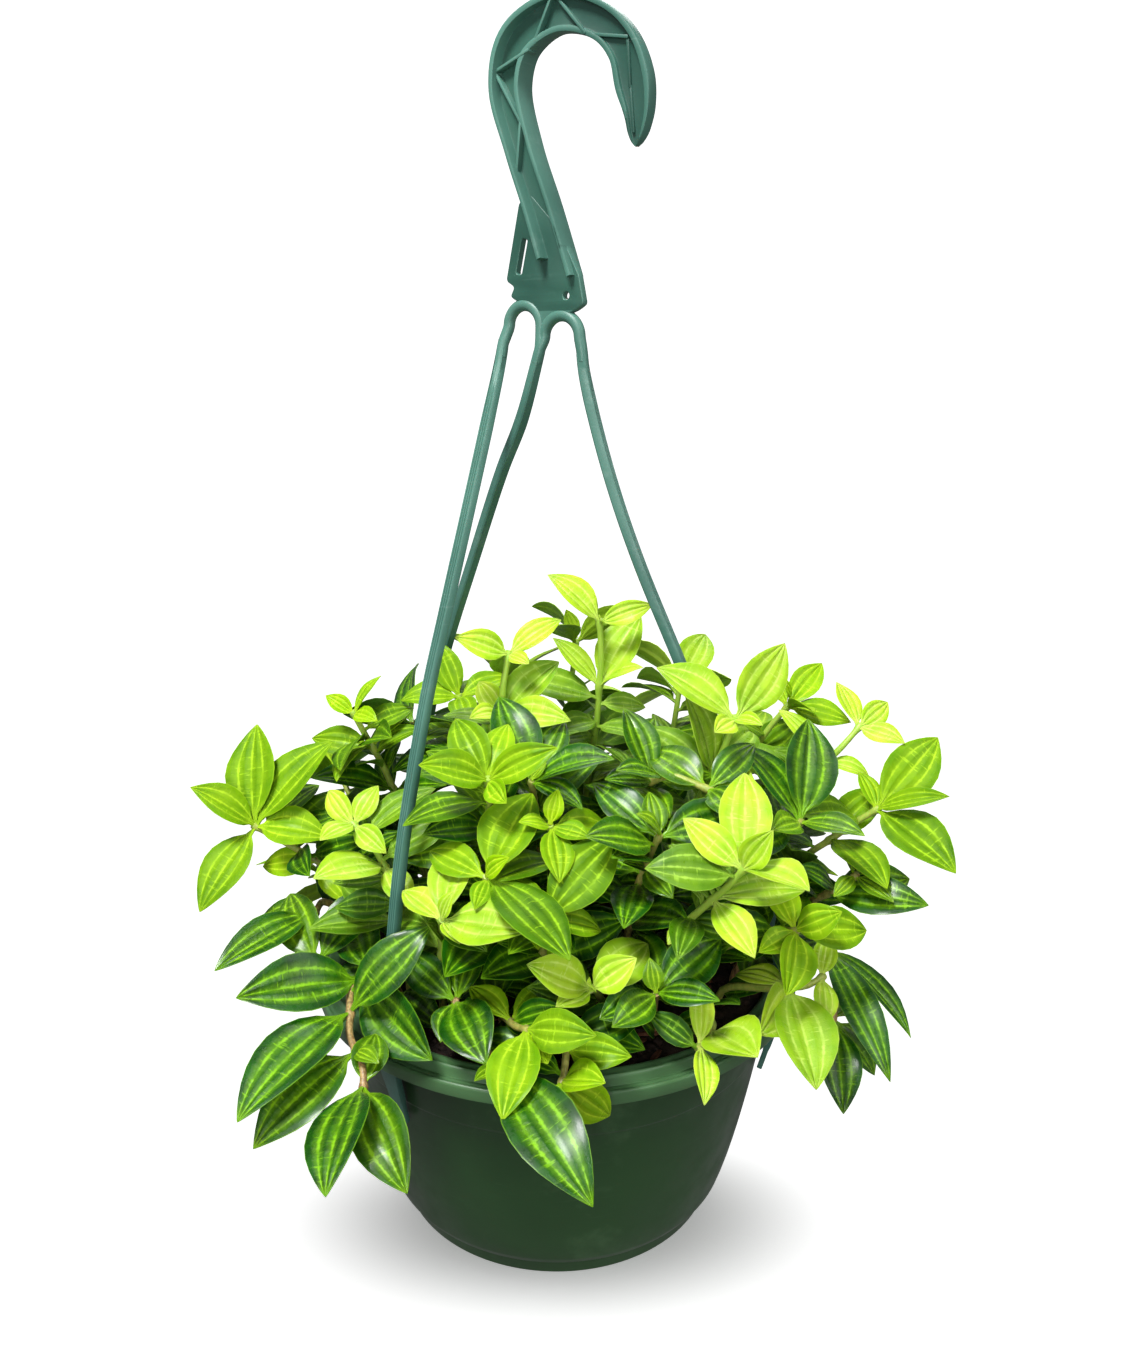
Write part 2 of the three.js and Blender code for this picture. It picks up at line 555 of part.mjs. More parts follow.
// Shares of a blade's length at which its rings of points stand
function ringsOf({ length, plain }) {
  if (plain || length < smallLeaf) {
    return [0.27, 0.68];
  }
  return length < longLeaf ? [0.12, 0.42, 0.76] : [0.1, 0.3, 0.55, 0.8];
}

// A blade: one point at the root, rings of left edge, top, right edge and underside, and one point at the
// tip. grow thickens it, and from cuts its inner end off
function bladeGeometry(leaf, grow = 0, from = 0) {
  const rings = ringsOf(leaf).filter((at) => at > from);
  const half = bladeThickness / 2 + grow;
  const wider = 1 + grow / leaf.halfWidth;
  const points = [leafPoint(leaf, from, 0, 0)];
  for (const at of rings) {
    points.push(leafPoint(leaf, at, -wider, 0), leafPoint(leaf, at, 0, half), leafPoint(leaf, at, wider, 0),
      leafPoint(leaf, at, 0, -half));
  }
  points.push(leafPoint(leaf, 1 + (grow * 0.8) / leaf.length, 0, 0));
  const faces = [];
  const [left, top, right, under] = [0, 1, 2, 3];
  const at = (ring, corner) => 1 + ring * 4 + corner;
  for (const [corner, next] of [[left, top], [top, right], [right, under], [under, left]]) {
    faces.push(0, at(0, corner), at(0, next));
    faces.push(points.length - 1, at(rings.length - 1, next), at(rings.length - 1, corner));
  }
  // Each panel is split from its edge at one ring to its middle at the next, the same way on both faces
  for (let ring = 0; ring + 1 < rings.length; ring += 1) {
    for (const [edge, middle] of [[left, top], [right, under]]) {
      faces.push(at(ring, edge), at(ring + 1, edge), at(ring, middle));
      faces.push(at(ring + 1, edge), at(ring + 1, middle), at(ring, middle));
    }
    for (const [middle, edge] of [[top, right], [under, left]]) {
      faces.push(at(ring, middle), at(ring + 1, edge), at(ring, edge));
      faces.push(at(ring, middle), at(ring + 1, middle), at(ring + 1, edge));
    }
  }
  const geometry = new THREE.BufferGeometry();
  const numbers = points.flatMap((point) => [point.x, point.y, point.z]);
  geometry.setAttribute("position", new THREE.Float32BufferAttribute(numbers, 3));
  geometry.setIndex(faces);
  return geometry;
}

// How far a stem bows aside below its first whorl, tried in turn, mm
const bows = [0, 5, -5, 10, -10, 15, -15, 21, -21];

// Ways to place a leaf, tried in turn until it is clear: change of azimuth, change of rise, share of the
// length
const tries = [
  [0, 0, 1], [10, 0, 1], [-10, 0, 1], [0, 10, 1], [0, -10, 1],
  [12, 12, 0.95], [-12, 12, 0.95], [12, -12, 0.95], [-12, -12, 0.95], [24, 0, 0.92], [-24, 0, 0.92],
  [0, 24, 0.9], [0, -24, 0.9], [24, 18, 0.85], [-24, 18, 0.85], [36, 0, 0.85], [-36, 0, 0.85],
  [0, 0, 0.72], [24, -18, 0.75], [-24, -18, 0.75], [36, 30, 0.7], [-36, 30, 0.7],
];

// The level direction that the faces of a whorl's leaves lean to: outwards, and on the front stems to the
// front too
function outwardAt(place, stem) {
  const outward = vec(place.x, place.y, 0).normalize();
  return stem.back ? outward : outward.multiplyScalar(0.5).add(vec(0, -0.8, 0)).normalize();
}

function leafOf(base, [azimuth, rise, length, breadth], form, [turn, lift, share]) {
  const heading = polar(azimuth + turn, Math.cos((rise + lift) * tilt), Math.sin((rise + lift) * tilt));
  const wanted = vec(0, 0, 0.75).addScaledVector(form.outward, form.lean);
  const face = wanted.addScaledVector(heading, -wanted.dot(heading)).normalize()
    .applyAxisAngle(heading, form.roll);
  return {
    base: base.clone().addScaledVector(heading, leafRoot),
    heading, face, side: face.clone().cross(heading), length: length * share, droop: form.droop,
    halfWidth: (length * share * (breadth ?? form.breadth)) / 2, fold: form.fold, plain: form.plain,
  };
}

// Points between the soil and a stem's first given whorl: its lower whorls, or one bare bend
function bendPoints({ root: [x, y], nodes, low }, bow) {
  const leave = vec(x, y, 108.5);
  const first = vec(...nodes[0]);
  const aside = first.clone().sub(leave).cross(vec(0, 0, 1)).normalize();
  const count = Math.max(1, low.length);
  return Array.from({ length: count }, (_, index) => {
    const share = (index + 1) / (count + 1);
    const bulge = share * (1 - share) * leave.distanceTo(first) * 0.48;
    return leave.clone().lerp(first, share).addScaledVector(aside, bow * Math.sin(Math.PI * share))
      .addScaledVector(vec(0, 0, 1), bulge);
  });
}

// A stem stands straight in the soil, then runs through its bends and whorls
function stemCurve(stem, bow) {
  const [x, y] = stem.root;
  const whorls = stem.nodes.map((node) => vec(...node));
  const points = [vec(x, y, holeBottom + 0.5), vec(x, y, 108.5), ...bendPoints(stem, bow), ...whorls];
  const last = points[points.length - 1];
  last.addScaledVector(last.clone().sub(points[points.length - 2]).normalize(), stemEnd);
  return new THREE.CatmullRomCurve3(points);
}

// Where a stem's rings stand, counted in points of its curve: both its ends, the soil, and halfway between
// whorls
function marksOf({ low, nodes }) {
  const last = 1 + Math.max(1, low.length) + nodes.length;
  return [0, 1, ...Array.from({ length: last - 2 }, (_, index) => index + 2.5), last];
}

// The whorls sit on the straight pieces between the rings
function whorlPlaces(stem, bow) {
  const curve = stemCurve(stem, bow);
  const marks = marksOf(stem);
  const last = marks[marks.length - 1];
  const between = (from, to, share) => curve.getPoint(from / last).lerp(curve.getPoint(to / last), share);
  const places = marks.slice(1, -1).map((from, index) => {
    const to = marks[index + 2];
    return between(from, to, index === 0 ? 2 / 3 : 0.5);
  });
  places[places.length - 1] = curve.getPoint(1)
    .addScaledVector(between(last - 0.5, last, 0).sub(curve.getPoint(1)).normalize(), stemEnd);
  return places.slice(stem.low.length ? 0 : 1);
}

function stemTube(stem, bow, grow = 0) {
  const marks = marksOf(stem);
  const steps = marks.length - 1;
  const shareOf = (share) => marks[Math.round(share * steps)] / marks[steps];
  const bar = new THREE.CylinderGeometry(1, 1, 1, 4, steps).rotateX(Math.PI / 2).translate(0, 0, 0.5);
  const sizeOf = (share) => {
    const radius = stemRadius + (stemTopRadius - stemRadius) * share + grow;
    return [radius, radius];
  };
  return alongCurve(bar, stemCurve(stem, bow), () => vec(1, 0.2, 0), sizeOf, shareOf);
}

function overlaps(one, other) {
  return one.box.intersectsBox(other.box) && !one.solid.intersect(other.solid).isEmpty();
}

function piece(geometry, owner) {
  geometry.computeBoundingBox();
  return { solid: solidOf(geometry), box: geometry.boundingBox, owner };
}

// Grows every stem with the least bow that is clear, then every leaf where it is clear of all that stands
// already
function grownStems(stems, fixed) {
  const standing = fixed.map((solid) => {
    const { min, max } = solid.boundingBox();
    return { solid, box: new THREE.Box3(vec(...min), vec(...max)), owner: null };
  });
  const grown = {};
  const bowOf = {};
  for (const [name, stem] of Object.entries(stems)) {
    const clear = bows.find((bow) => {
      const tube = piece(stemTube(stem, bow, 0.4), name);
      return !standing.some((other) => overlaps(tube, other));
    });
    const bow = clear ?? 0;
    bowOf[name] = bow;
    grown[name] = [solidOf(stemTube(stem, bow))];
    standing.push({ ...piece(stemTube(stem, bow, 0.4), name), tube: true });
  }
  Object.entries(stems).forEach(([name, stem], order) => {
    const draw = drawsFrom(17 + order * 101);
    const places = whorlPlaces(stem, bowOf[name]);
    [...stem.low, ...stem.leaves].forEach((rows, whorl) => {
      for (const row of rows) {
        const form = {
          roll: draw(-0.35, 0.35), droop: draw(0.35, 0.95), fold: draw(0.08, 0.42), breadth: draw(0.44, 0.54),
          lean: draw(0.35, 0.9), outward: outwardAt(places[whorl], stem),
          plain: whorl < stem.low.length || stem.back,
        };
        const found = tries.find((shift) => {
          const leaf = leafOf(places[whorl], row, form, shift);
          const whole = piece(bladeGeometry(leaf, leafGap), name);
          const outer = piece(bladeGeometry(leaf, leafGap, 0.25), name);
          return !standing.some((other) => {
            const ours = other.owner === name;
            return (ours && other.tube) ? false : overlaps(ours ? outer : whole, ours ? other.outer : other);
          });
        });
        if (found) {
          const leaf = leafOf(places[whorl], row, form, found);
          const outer = piece(bladeGeometry(leaf, leafGap, 0.25), name);
          standing.push({ ...piece(bladeGeometry(leaf, leafGap), name), outer });
          grown[name].push(solidOf(bladeGeometry(leaf)));
        }
      }
    });
  });
  return grown;
}

const backNames = backStems.map((_, index) => `back_${String(index + 1).padStart(2, "0")}`);
const stems = Object.fromEntries([
  ...Object.entries(frontStems).map(([name, stem], index) => [
    name, { ...stem, low: lowerWhorls(stem, index) },
  ]),
  ...backStems.map((row, index) => [backNames[index], backStem(row, index)]),
]);

const pot = potSolid();
const hanger = hangerSolids();
const soil = soilSolid(Object.values(stems).map(({ root }) => root));
const grown = grownStems(stems, [pot, soil, ...hanger.map(([, solid]) => solid)]);

const object = new THREE.Group();
object.add(meshOf("pot", pot, finishes.pot));
object.add(meshOf("soil", soil, finishes.soil));
for (const [name, solid] of hanger) {
  object.add(meshOf(name, solid, finishes.hanger));
}
for (const [name, pieces] of Object.entries(grown)) {
  object.add(meshOf(`stem_${name}`, joined(pieces), finishes[stems[name].tone]));
}

export default object;
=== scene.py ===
import math

import bmesh
import bpy
from mathutils import Color, Matrix, Quaternion, Vector, kdtree
from mathutils.bvhtree import BVHTree


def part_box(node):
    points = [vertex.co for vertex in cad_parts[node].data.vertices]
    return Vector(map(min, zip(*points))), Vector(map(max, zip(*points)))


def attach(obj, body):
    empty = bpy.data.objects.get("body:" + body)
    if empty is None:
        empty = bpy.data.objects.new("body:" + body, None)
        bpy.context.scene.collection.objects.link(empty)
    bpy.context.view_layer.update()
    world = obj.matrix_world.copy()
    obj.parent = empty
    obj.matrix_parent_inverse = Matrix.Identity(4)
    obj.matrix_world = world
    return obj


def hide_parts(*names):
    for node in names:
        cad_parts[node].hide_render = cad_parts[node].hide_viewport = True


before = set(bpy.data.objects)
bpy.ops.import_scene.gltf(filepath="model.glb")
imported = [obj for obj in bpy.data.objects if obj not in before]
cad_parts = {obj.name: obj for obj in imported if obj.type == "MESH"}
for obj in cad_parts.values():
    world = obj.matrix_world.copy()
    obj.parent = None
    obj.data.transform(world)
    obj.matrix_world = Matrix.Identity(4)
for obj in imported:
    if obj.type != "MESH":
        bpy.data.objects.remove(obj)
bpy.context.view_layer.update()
mm = 0.001  # every length below is in millimetres until its mesh is finished
weld = 1e-4  # corners of a turned shape that lie nearer than this become one


# objects and meshes
def addObject(name, data):
    made = bpy.data.objects.new(name, data)
    bpy.context.scene.collection.objects.link(made)
    return made


def meshOf(bm, name):
    mesh = bpy.data.meshes.new(name)
    bm.to_mesh(mesh)
    bm.free()
    return mesh


def finishPiece(bm, name, finishes, nodes, sharp):
    bmesh.ops.scale(bm, vec=(mm, mm, mm), verts=bm.verts)
    mesh = meshOf(bm, name)
    for finish in finishes:
        mesh.materials.append(finish)
    mesh.shade_smooth()
    mesh.set_sharp_from_angle(angle=math.radians(sharp))
    piece = addObject(name, mesh)
    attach(piece, "root")
    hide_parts(*nodes)
    return piece


# numbers and places
def between(low, high, share):
    return low + (high - low) * share


def clamp(value, low=0.0, high=1.0):
    return max(low, min(high, value))


def polar(azimuth, radius, height=0.0):
    angle = math.radians(azimuth)
    return Vector((radius * math.cos(angle), radius * math.sin(angle), height))


def circlePoints(count, radius=1):
    return [polar(step * 360 / count, radius).xy for step in range(count)]


def lengthOf(line):
    return sum((b - a).length for a, b in zip(line, line[1:]))


# seeded draw, so that every run makes the same plant
drawSet = {"factor": 1664525, "step": 1013904223, "range": 2**32}


def drawsFrom(seed):
    state = [seed]

    def draw(low, high):
        state[0] = (state[0] * drawSet["factor"] + drawSet["step"]) % drawSet["range"]
        return low + (high - low) * state[0] / drawSet["range"]

    return draw


# curves: the same centripetal spline through points as the stems and hanger are laid out on
def splinePoint(points, share, least=1e-4):
    last = len(points) - 1
    place = last * share
    first = min(int(place), last - 1)
    weight = place - first
    one, two = points[first], points[first + 1]
    before = points[first - 1] if first > 0 else points[0] * 2 - points[1]
    after = points[first + 2] if first + 2 <= last else points[last] * 2 - points[last - 1]
    gaps = [math.sqrt((b - a).length) for a, b in ((before, one), (one, two), (two, after))]
    gaps[1] = gaps[1] if gaps[1] > least else 1.0
    gaps[0] = gaps[0] if gaps[0] > least else gaps[1]
    gaps[2] = gaps[2] if gaps[2] > least else gaps[1]
    leave = (one - before) / gaps[0] - (two - before) / (gaps[0] + gaps[1]) + (two - one) / gaps[1]
    arrive = (two - one) / gaps[1] - (after - one) / (gaps[1] + gaps[2]) + (after - two) / gaps[2]
    leave, arrive = leave * gaps[1], arrive * gaps[1]
    bend = one * -3 + two * 3 - leave * 2 - arrive
    twist = one * 2 - two * 2 + leave + arrive
    return one + leave * weight + bend * weight**2 + twist * weight**3


def splineAlong(points, share, step=0.0001):
    ahead = splinePoint(points, min(1, share + step))
    return (ahead - splinePoint(points, max(0, share - step))).normalized()


# a corner of an outline as an arc of short chords, which takes up no more than the given part of its sides
def cornerArc(before, corner, after, radius, chords, most):
    cut = min(radius, (before - corner).length * most, (after - corner).length * most)
    start = corner + (before - corner).normalized() * cut
    end = corner + (after - corner).normalized() * cut
    shares = [step / chords for step in range(chords + 1)]
    return [start.lerp(corner, share).lerp(corner.lerp(end, share), share) for share in shares]


# a closed outline with all its corners rounded
def rounded(outline, radius, chords=3, most=0.45):
    points = [Vector(point) for point in outline]
    smooth = []
    for before, corner, after in zip([points[-1], *points], points, [*points[1:], points[0]]):
        smooth += cornerArc(before, corner, after, radius, chords, most)
    return smooth


# an open outline with its sharper corners rounded, but for its ends
def softened(outline, radius=0.8, sharpest=12, chords=2, most=0.4):
    points = [Vector(point) for point in outline]
    smooth = [points[0]]
    for before, corner, after in zip(points, points[1:], points[2:]):
        turn = (corner - before).angle(after - corner)
        isSharp = turn >= math.radians(sharpest)
        smooth += cornerArc(before, corner, after, radius, chords, most) if isSharp else [corner]
    return [*smooth, points[-1]]


# solids
def edgesOf(verts):
    return list({edge for vert in verts for edge in vert.link_edges})


def facesOf(verts):
    return {face for vert in verts for face in vert.link_faces}


# a profile of radius and height turned once round the upright axis
def turned(bm, profile, steps):
    corners = [bm.verts.new((radius, 0, height)) for radius, height in profile]
    edges = [bm.edges.new(pair) for pair in zip(corners, corners[1:])]
    bmesh.ops.spin(bm, geom=corners + edges, cent=(0, 0, 0), axis=(0, 0, 1), angle=math.tau,
                   steps=steps, use_merge=True)
    bmesh.ops.remove_doubles(bm, verts=bm.verts, dist=weld)
    bmesh.ops.recalc_face_normals(bm, faces=bm.faces)


# a section is laid at the first place of a run and then extruded from place to place
def sweep(bm, count, outlineAt, placeAt, steps):
    ring = bmesh.ops.create_circle(bm, segments=count, radius=1, cap_ends=False)["verts"]
    made = list(ring)
    edges = edgesOf(ring)
    loop = walkedLoop(ring)
    layRing(loop, outlineAt(0), placeAt(0))
    bmesh.ops.holes_fill(bm, edges=edges, sides=0)
    for step in range(1, steps + 1):
        grown = bmesh.ops.extrude_edge_only(bm, edges=edges)["geom"]
        verts = {item for item in grown if isinstance(item, bmesh.types.BMVert)}
        lines = [item for item in grown if isinstance(item, bmesh.types.BMEdge)]
        edges = [line for line in lines if verts.issuperset(line.verts)]
        partner = {edge.other_vert(vert): vert for vert in verts for edge in vert.link_edges}
        loop = [partner[vert] for vert in loop]
        layRing(loop, outlineAt(step / steps), placeAt(step / steps))
        made += loop
    bmesh.ops.holes_fill(bm, edges=edges, sides=0)
    return made


def walkedLoop(ring):
    loop = [ring[0]]
    while len(loop) < len(ring):
        around = [edge.other_vert(loop[-1]) for edge in loop[-1].link_edges]
        loop.append(next(vert for vert in around if vert not in loop))
    return loop


def layRing(loop, outline, place):
    for vert, (wide, deep) in zip(loop, outline):
        vert.co = place @ Vector((wide, deep, 0))


def placeOn(centre, along, wanted):
    side = (wanted - along * wanted.dot(along)).normalized()
    across = along.cross(side)
    turn = Matrix((side, across, along)).transposed().to_4x4()
    return Matrix.Translation(centre) @ turn


# the place on a line of points for a section, with its first side turned towards "wanted"
def placeAlong(line, share, wanted):
    return placeOn(splinePoint(line, share), splineAlong(line, share), wanted)


# materials
def colour(*values):
    return (*Color([value / 255 for value in values]).from_srgb_to_scene_linear(), 1)


class Finish:
    # a material with short ways to add and join its nodes
    def __init__(self, name):
        self.material = bpy.data.materials.new(name)
        self.material.use_nodes = True
        self.nodes = self.material.node_tree.nodes
        self.links = self.material.node_tree.links
        self.shader = self.nodes["Principled BSDF"]

    def add(self, kind, settings=None, inputs=None):
        node = self.nodes.new(kind)
        for key, value in (settings or {}).items():
            setattr(node, key, value)
        for key, value in (inputs or {}).items():
            self.put(node, key, value)
        return node

    def put(self, node, key, value):
        if isinstance(value, bpy.types.NodeSocket):
            self.links.new(value, node.inputs[key])
        else:
            node.inputs[key].default_value = value

    def surface(self, **values):
        for key, value in values.items():
            self.put(self.shader, key.replace("_", " "), value)

    def place(self):
        return self.add("ShaderNodeTexCoord").outputs["Object"]

    def attribute(self, name, output="Fac"):
        return self.add("ShaderNodeAttribute", {"attribute_name": name}).outputs[output]

    def split(self, vector):
        return self.add("ShaderNodeSeparateXYZ", None, {"Vector": vector}).outputs

    def mapped(self, vector, scale, move=(0, 0, 0)):
        inputs = {"Vector": vector, "Scale": scale, "Location": move}
        return self.add("ShaderNodeMapping", None, inputs).outputs["Vector"]

    def noise(self, vector, scale, detail, roughness=0.5):
        inputs = {"Vector": vector, "Scale": scale, "Detail": detail, "Roughness": roughness}
        return self.add("ShaderNodeTexNoise", None, inputs).outputs["Fac"]

    def sum(self, operation, *values):
        return self.add("ShaderNodeMath", {"operation": operation}, dict(enumerate(values))).outputs[0]

    def most(self, first, *others):
        for other in others:
            first = self.sum("MAXIMUM", first, other)
        return first

    def blend(self, value, low, high, start=0.0, end=1.0):
        inputs = {"Value": value, "From Min": low, "From Max": high, "To Min": start, "To Max": end}
        return self.add("ShaderNodeMapRange", {"interpolation_type": "SMOOTHSTEP"}, inputs).outputs["Result"]

    def mix(self, share, one, two):
        inputs = {"Factor": share, 6: one, 7: two}  # the two colours have the same names as other inputs
        return self.add("ShaderNodeMix", {"data_type": "RGBA"}, inputs).outputs[2]

    def bump(self, height, strength, distance):
        inputs = {"Height": height, "Strength": strength, "Distance": distance}
        self.surface(Normal=self.add("ShaderNodeBump", None, inputs).outputs["Normal"])


# camera, where the photograph was taken from
cameraSet = {
    "place": (1.7, -443, 343),
    "pitch": 14.83,  # degrees below level
    "focal": 1150,  # in pixels of the 1122 by 1346 frame
    "longSide": 1346,
    "sensor": 36,
    "near": 0.02,  # metres
    "far": 60,
}


def placeCamera(look):
    lens = bpy.data.cameras.new("camera")
    lens.sensor_width = look["sensor"]
    lens.lens = look["focal"] * look["sensor"] / look["longSide"]
    lens.clip_start = look["near"]
    lens.clip_end = look["far"]
    camera = addObject("camera", lens)
    camera.location = Vector(look["place"]) * mm
    camera.rotation_euler = (math.radians(90 - look["pitch"]), 0, 0)
    bpy.context.scene.camera = camera


placeCamera(cameraSet)
print("camera placed")


# studio, in metres: a white bowl-shaped floor, so that no view has a hard horizon, and four soft lamps
studioSet = {
    "floorRadius": 1.7,
    "floorSteps": 96,
    "wallRise": 2.6,
    "wallBend": 1.1,
    "bendSteps": 12,
    "floorColour": (0.9, 0.9, 0.9, 1),
    "floorRough": 0.9,
    "floorSheen": 0.1,
    "paintedShadowGlow": 0.3,  # strength of the floor's own glow under the pot, kept weak there as a painted shadow
    "glowFar": 1.03,
    "paintedShadowStart": 0.045,  # from its middle to the end of the weak glow of the painted shadow
    "paintedShadowReach": 0.135,  # and to the start of the full one
    "paintedShadowStretch": 2,  # the painted shadow is narrower from front to back
    "paintedShadowForward": 0.035,  # and its middle lies in front of the pot's axis
    "skyStrength": 0.22,
    "white": (1, 1, 1, 1),
    "lamps": [  # name, place, size, watts
        ("key", (-0.45, -0.65, 1.6), 0.45, 41),
        ("side", (1.1, -0.7, 1.1), 0.8, 8),
        ("back", (0.1, 1.1, 1.35), 0.9, 11),
        ("front", (-0.2, -1.35, 0.5), 0.7, 9),
    ],
    "aim": (0, 0, 0.17),
}


# white paint that glows away from the plant, so that floor and wall run together, and glows less round the
# pot's foot as a painted shadow
def floorPaintAndShadow(look):
    paint = Finish("studioFloor")
    paint.surface(Base_Color=look["floorColour"], Roughness=look["floorRough"])
    paint.surface(Specular_IOR_Level=look["floorSheen"], Emission_Color=look["white"])
    stretch = look["paintedShadowStretch"]
    stretched = paint.mapped(paint.place(), (1, stretch, 1), (0, look["paintedShadowForward"] * stretch, 0))
    away = paint.add("ShaderNodeVectorMath", {"operation": "LENGTH"}, {0: stretched}).outputs["Value"]
    # the glow is weaker near the pot: a painted shadow on the floor
    glow = paint.blend(away, *(look[key] for key in ("paintedShadowStart", "paintedShadowReach", "paintedShadowGlow", "glowFar")))
    paint.surface(Emission_Strength=glow)
    return paint.material


def buildFloor(look):
    bm = bmesh.new()
    radius, bend = look["floorRadius"], look["wallBend"]
    profile = [(0, 0), (radius, 0)]
    for step in range(1, look["bendSteps"] + 1):
        angle = math.pi / 2 * step / look["bendSteps"]
        profile.append((radius + bend * math.sin(angle), bend * (1 - math.cos(angle))))
    profile.append((radius + bend, look["wallRise"]))
    turned(bm, profile, look["floorSteps"])
    floor = addObject("floor", meshOf(bm, "floor"))
    floor.data.shade_smooth()
    floor.data.materials.append(floorPaintAndShadow(look))
    floor.visible_diffuse = False  # the sky lights the plant from below instead
    floor.visible_glossy = False
    return floor


def buildStudio(look):
    unlit = bpy.data.collections.new("unlitByLamps")
    unlit.objects.link(buildFloor(look))
    unlit.collection_objects[0].light_linking.link_state = "EXCLUDE"  # of the lights only the sky casts the plant's shadow; the floor's weaker glow adds a painted shadow under the pot
    for name, place, size, watts in look["lamps"]:
        lamp = bpy.data.lights.new(name, "AREA")
        lamp.shape = "DISK"
        lamp.size = size
        lamp.energy = watts
        towards = Vector(look["aim"]) - Vector(place)
        lampObject = addObject(name, lamp)
        lampObject.location = place
        lampObject.rotation_euler = towards.to_track_quat("-Z", "Y").to_euler()
        lampObject.light_linking.receiver_collection = unlit
    sky = bpy.data.worlds.new("sky")
    sky.use_nodes = True
    background = sky.node_tree.nodes["Background"]
    background.inputs["Color"].default_value = look["white"]
    background.inputs["Strength"].default_value = look["skyStrength"]
    bpy.context.scene.world = sky
    bpy.context.scene.view_settings.view_transform = "Standard"
    bpy.context.scene.view_settings.look = "None"


buildStudio(studioSet)
print("studio lit")


# plastics: clouds in the colour, dust, scuffs and a fine grain. In every look a noise is its scale, detail
# and roughness, and a blend is the limits between which it runs, with its values there if not 0 and 1
plasticLook = {
    "cloudNoise": (16, 3), "cloud": (0.3, 0.7), "cloudRelief": 2,
    "dustNoise": (60, 6, 0.65), "dustLimits": (0.56, 0.74), "dust": 0.2,
    "scuffStretch": (55, 55, 900), "scuffNoise": (1, 2), "scuffLimits": (0.66, 0.78), "scuff": 0.12,
    "glossNoise": (70, 4), "gloss": (0.25, 0.75, 0.36, 0.52), "sheen": 0.5,
    "grainNoise": (1900, 2), "grain": 0.2, "grainDepth": 0.0001, "through": 0.04, "throughDepth": 0.002,
}


def plasticFinish(name, look):
    finish = Finish(name)
    place = finish.place()
    cloud = finish.noise(place, *look["cloudNoise"])
    base = finish.mix(finish.blend(cloud, *look["cloud"]), look["dark"], look["light"])
    dust = finish.blend(finish.noise(place, *look["dustNoise"]), *look["dustLimits"], 0, look["dust"])
    scuffs = finish.noise(finish.mapped(place, look["scuffStretch"]), *look["scuffNoise"])
    scuff = finish.blend(scuffs, *look["scuffLimits"], 0, look["scuff"])
    marked = finish.mix(finish.most(dust, scuff), base, look["dustColour"])
    # painted highlight: above a height the colour turns paler, where the collar and lip catch the light
    if "rim" in look:
        marked = finish.mix(finish.blend(finish.split(place)["Z"], *look["rimHeights"]), marked, look["rim"])
    finish.surface(Base_Color=marked, Specular_IOR_Level=look["sheen"])
    finish.surface(Roughness=finish.blend(finish.noise(place, *look["glossNoise"]), *look["gloss"]))
    relief = finish.sum("MULTIPLY", cloud, look["cloudRelief"])
    grain = finish.noise(place, *look["grainNoise"])
    finish.bump(finish.sum("ADD", grain, relief), look["grain"], look["grainDepth"])
    finish.surface(Subsurface_Weight=look["through"], Subsurface_Scale=look["throughDepth"])
    return finish.material


potPlastic = plasticFinish("potPlastic", {
    **plasticLook,
    "dark": colour(20, 50, 18), "light": colour(33, 70, 30), "dustColour": colour(100, 134, 94),
    "cloudNoise": (9, 3), "dustNoise": (38, 6, 0.65), "dust": 0.16, "scuff": 0.1,
    "gloss": (0.25, 0.75, 0.3, 0.46), "grain": 0.12,
    "rim": colour(70, 106, 66), "rimHeights": (0.0966, 0.0978, 0, 0.85),  # the collar and lip are painted paler, a painted highlight where they catch the light
})
hangerPlastic = plasticFinish("hangerPlastic", {
    **plasticLook,
    "dark": colour(54, 96, 84), "light": colour(80, 124, 110), "dustColour": colour(150, 176, 166),
})
# a darker copy of the hanger's plastic: painted shade for the web and the plate
hangerPaintedShade = plasticFinish("hangerPaintedShade", {
    **plasticLook,
    "dark": colour(34, 70, 60), "light": colour(48, 90, 76), "dustColour": colour(96, 134, 120),
})


# soil: damp peat, chips of bark and pale flecks
soilLook = {
    "dark": colour(22, 15, 11), "light": colour(48, 34, 25), "dampNoise": (160, 5), "damp": (0.35, 0.65),
    "barkDark": colour(62, 38, 27), "bark": colour(122, 78, 56), "barkNoise": (420, 4), "chip": (0.45, 0.55),
    "fleckColour": colour(104, 86, 70), "fleckNoise": (900, 3), "fleck": (0.68, 0.75, 0, 0.5),
    "rough": 0.92, "sheen": 0.25, "crumbNoise": (700, 6, 0.7), "relief": 0.9, "reliefDepth": 0.0008,
}


def soilFinish(name, look):
    finish = Finish(name)
    place = finish.place()
    damp = finish.blend(finish.noise(place, *look["dampNoise"]), *look["damp"])
    peat = finish.mix(damp, look["dark"], look["light"])
    bark = finish.mix(finish.noise(place, *look["barkNoise"]), look["barkDark"], look["bark"])
    shown = finish.mix(finish.blend(finish.attribute("chip"), *look["chip"]), peat, bark)
    fleck = finish.blend(finish.noise(place, *look["fleckNoise"]), *look["fleck"])
    finish.surface(Base_Color=finish.mix(fleck, shown, look["fleckColour"]))
    finish.surface(Roughness=look["rough"], Specular_IOR_Level=look["sheen"])
    finish.bump(finish.noise(place, *look["crumbNoise"]), look["relief"], look["reliefDepth"])
    return finish.material


pottingMix = soilFinish("pottingMix", soilLook)
print("plastics and soil painted")


